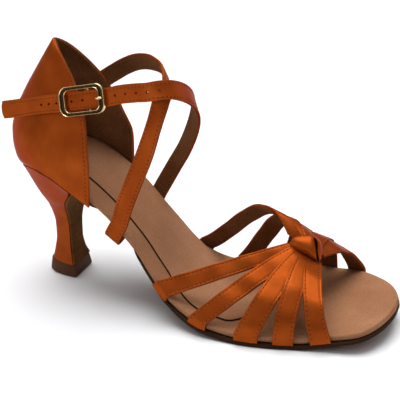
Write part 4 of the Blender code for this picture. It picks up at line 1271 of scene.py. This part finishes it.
def stitch_tree():
    """Geometry nodes that lay one short thread after another along each line of points."""
    tree = bpy.data.node_groups.new("row_of_stitches", "GeometryNodeTree")
    tree.interface.new_socket("Geometry", in_out="INPUT", socket_type="NodeSocketGeometry")
    for name in ("Pitch", "Length", "Thickness"):
        tree.interface.new_socket(name, in_out="INPUT", socket_type="NodeSocketFloat")
    tree.interface.new_socket("Material", in_out="INPUT", socket_type="NodeSocketMaterial")
    tree.interface.new_socket("Geometry", in_out="OUTPUT", socket_type="NodeSocketGeometry")
    given = add(tree, "NodeGroupInput").outputs
    curve = add(tree, "GeometryNodeMeshToCurve", {0: given["Geometry"]})
    every = {0: curve.outputs[0], "Length": given["Pitch"]}
    points = add(tree, "GeometryNodeCurveToPoints", every, mode="LENGTH")
    bead = add(tree, "GeometryNodeMeshUVSphere", {"Segments": 8, "Rings": 5, "Radius": 0.5})
    size = add(tree, "ShaderNodeCombineXYZ", {0: given["Thickness"], 1: given["Thickness"], 2: given["Length"]})
    shaped = add(tree, "GeometryNodeTransform", {0: bead.outputs[0], "Scale": size.outputs[0]})
    lay = {"Instance": shaped.outputs[0], **{key: points.outputs[key] for key in ("Points", "Rotation")}}
    laid = add(tree, "GeometryNodeInstanceOnPoints", lay)
    real = add(tree, "GeometryNodeRealizeInstances", {0: laid.outputs[0]})
    smooth = add(tree, "GeometryNodeSetShadeSmooth", {0: real.outputs[0]})
    dressed = add(tree, "GeometryNodeSetMaterial", {0: smooth.outputs[0], "Material": given["Material"]})
    add(tree, "NodeGroupOutput", {0: dressed.outputs[0]})
    return tree


STITCHES = stitch_tree()


def sew(name, lines, material, length, thickness, slot=None, shift=0.0):
    """Threads of one material along lines of points in mm. shift starts each row later by so much."""
    points, edges = [], []
    for line in lines:
        if shift:
            places = lengths_along(line)
            line = at_marks(line, places, np.linspace(shift, places[-1], len(line)))
        edges += [(len(points) + i, len(points) + i + 1) for i in range(len(line) - 1)]
        points += [tuple(point * MM) for point in line]
    mesh = bpy.data.meshes.new(name + "_lines")
    mesh.from_pydata(points, edges, [])
    guide = new_object(name + "_lines", mesh)
    modifier = guide.modifiers.new("stitches", "NODES")
    modifier.node_group = STITCHES
    values = {"Pitch": STITCH_PITCH * MM, "Length": length * MM, "Thickness": thickness * MM}
    values["Material"] = material
    for item in STITCHES.interface.items_tree:
        if item.in_out == "INPUT" and item.name in values:
            modifier[item.identifier] = values[item.name]
    sewn = settled_mesh(guide)
    sewn.name = name
    bpy.data.objects.remove(guide)
    return keep(new_object(name, sewn), slot)


def punch(obj, centres, outward):
    """Cuts the round holes through a strap."""
    bm = bmesh.new()
    size = {"radius1": PUNCH_RADIUS * MM, "radius2": PUNCH_RADIUS * MM, "depth": PUNCH_DEPTH * MM}
    for centre, out in zip(centres, outward):
        turn = Vector(out).to_track_quat("Z", "Y").to_matrix().to_4x4()
        turn.translation = Vector(centre) * MM
        bmesh.ops.create_cone(bm, segments=20, cap_ends=True, matrix=turn, **size)
    mesh = bpy.data.meshes.new("punched")
    bm.to_mesh(mesh)
    bm.free()
    cutter = new_object("punched", mesh)
    modifier = obj.modifiers.new("punched", "BOOLEAN")
    modifier.object, modifier.operation, modifier.solver = cutter, "DIFFERENCE", "EXACT"
    cut = settled_mesh(obj)
    obj.modifiers.remove(modifier)
    obj.data = cut
    bpy.data.objects.remove(cutter)


def build_ankle_straps():
    """The cross strap and the buckle strap. The buckle strap has a rounded end and its holes."""
    cross = ankle_strap(CROSS_ROOT, CROSS_OVER_FOOT, CROSS_AT_COUNTER)
    keep(strap_skin("cross_strap", cross, COVER_SECTION, SATIN, SATIN_EDGE_PAINTED_SHADE), "satin")
    keep(strap_skin("cross_strap_lining", cross, LINING_SECTION, LINING))
    face_lines, back_lines = strap_stitches(cross, 6, STRAP_ROWS - 6)

    path, half, bow, normal = ankle_strap(BUCKLE_ROOT, BUCKLE_OVER_FOOT, BUCKLE_AT_COUNTER)
    places = lengths_along(path)
    left = np.clip((places[-1] - places) / TAIL_ROUND, 0, 1)
    half = half * (0.45 + 0.55 * np.sqrt(1 - (1 - left) ** 2))[:, None]
    strap = path, half, bow, normal
    cover = strap_skin("buckle_strap_satin", strap, COVER_SECTION, SATIN, SATIN_EDGE_PAINTED_SHADE)
    lining = strap_skin("buckle_strap_lining", strap, LINING_SECTION, LINING)
    middle = np.array(counter_point(BUCKLE_AT_COUNTER[BUCKLE_ROW]))
    here = places[np.argmin(np.linalg.norm(path - middle, axis=1))]
    centres, outward = (at_marks(line, places, here + np.array(PUNCH_MARKS)) for line in (path, normal))
    for obj in (cover, lining):
        punch(obj, centres, outward)
    keep(cover, "satin", "buckle_strap")
    keep(lining)
    face, back = strap_stitches(strap, 6, STRAP_ROWS - 8)
    return face_lines + face, back_lines + back


def lamp(name, kind, place, aim, **settings):
    """A light at a place in metres, turned to what it is aimed at."""
    light = bpy.data.lights.new(name, kind)
    for key, value in settings.items():
        setattr(light, key, value)
    obj = new_object(name, light)
    obj.location = place
    obj.rotation_euler = (obj.location - Vector(aim)).to_track_quat("Z", "Y").to_euler()


def build_stage():
    """A plain pale floor, soft light from above and from the front left, and the camera."""
    floor_material, _, shader = new_material("pale_floor", Roughness=0.9)
    shader.inputs["Base Color"].default_value = linear("#F4F5F7")
    bm = bmesh.new()
    bmesh.ops.create_grid(bm, x_segments=1, y_segments=1, size=6)
    mesh = bpy.data.meshes.new("floor")
    bm.to_mesh(mesh)
    bm.free()
    mesh.materials.append(floor_material)
    floor = new_object("floor", mesh)
    floor.location = (0, 0, -0.0002)

    # A sun with a very wide disc lights the shoe as a large soft box overhead would.
    above = {"angle": radians(56), "energy": 2.95}
    lamp("wide_soft_box_overhead", "SUN", (-0.16, 0.22, 1.0), (0, 0, 0), **above)
    lamp("soft_box_at_front_left", "AREA", (-0.72, -0.92, 0.36), (0.06, 0, 0.06), size=0.5, energy=0.8)

    # The room, from the horizon up: pale like the floor, then dim walls, then a bright ceiling.
    room = ((0.0, "#F6F6F6"), (0.05, "#F0F0F0"), (0.13, "#4C4D50"), (0.45, "#8C8D90"), (0.9, "#FFFFFF"))
    world = bpy.data.worlds.new("studio")
    bpy.context.scene.world = world
    world.use_nodes = True
    tree = world.node_tree
    up = add(tree, "ShaderNodeSeparateXYZ", {0: add(tree, "ShaderNodeTexCoord").outputs["Generated"]})
    background = tree.nodes["Background"]
    tree.links.new(ramp(tree, up.outputs["Z"], *room), background.inputs["Color"])
    background.inputs["Strength"].default_value = 0.68
    bpy.context.scene.view_settings.view_transform = "Standard"

    camera_data = bpy.data.cameras.new("camera")
    camera_data.lens, camera_data.sensor_width = CAMERA_LENS, CAMERA_SENSOR
    camera = new_object("camera", camera_data)
    azimuth, elevation = radians(CAMERA_AZIMUTH), radians(CAMERA_ELEVATION)
    back = Vector((sin(azimuth) * cos(elevation), -cos(azimuth) * cos(elevation), sin(elevation)))
    camera.location = (Vector(CAMERA_AIM) + back * CAMERA_DISTANCE) * MM
    camera.rotation_euler = (-back).to_track_quat("-Z", "Y").to_euler()
    bpy.context.scene.camera = camera


def main():
    build_stage()
    build_insole()
    build_sock()
    build_outsole()
    build_heel()
    build_top_piece()
    satin_lines, lining_lines = build_counter()
    for build in (build_ankle_straps, build_fan):
        face, back = build()
        satin_lines += face
        lining_lines += back
    build_knot()
    build_buckle()
    build_tab()
    sew("satin_stitching", satin_lines, THREAD, STITCH_LENGTH, THREAD_THICKNESS, "satin")
    # Dark beads between the stitches: painted shade in the needle holes.
    sew("needle_holes", satin_lines, PAINTED_SHADE_DARK, NEEDLE_HOLE, NEEDLE_HOLE, "satin", STITCH_PITCH / 2)
    sew("lining_stitching", lining_lines, LINING_THREAD, STITCH_LENGTH, THREAD_THICKNESS)


main()
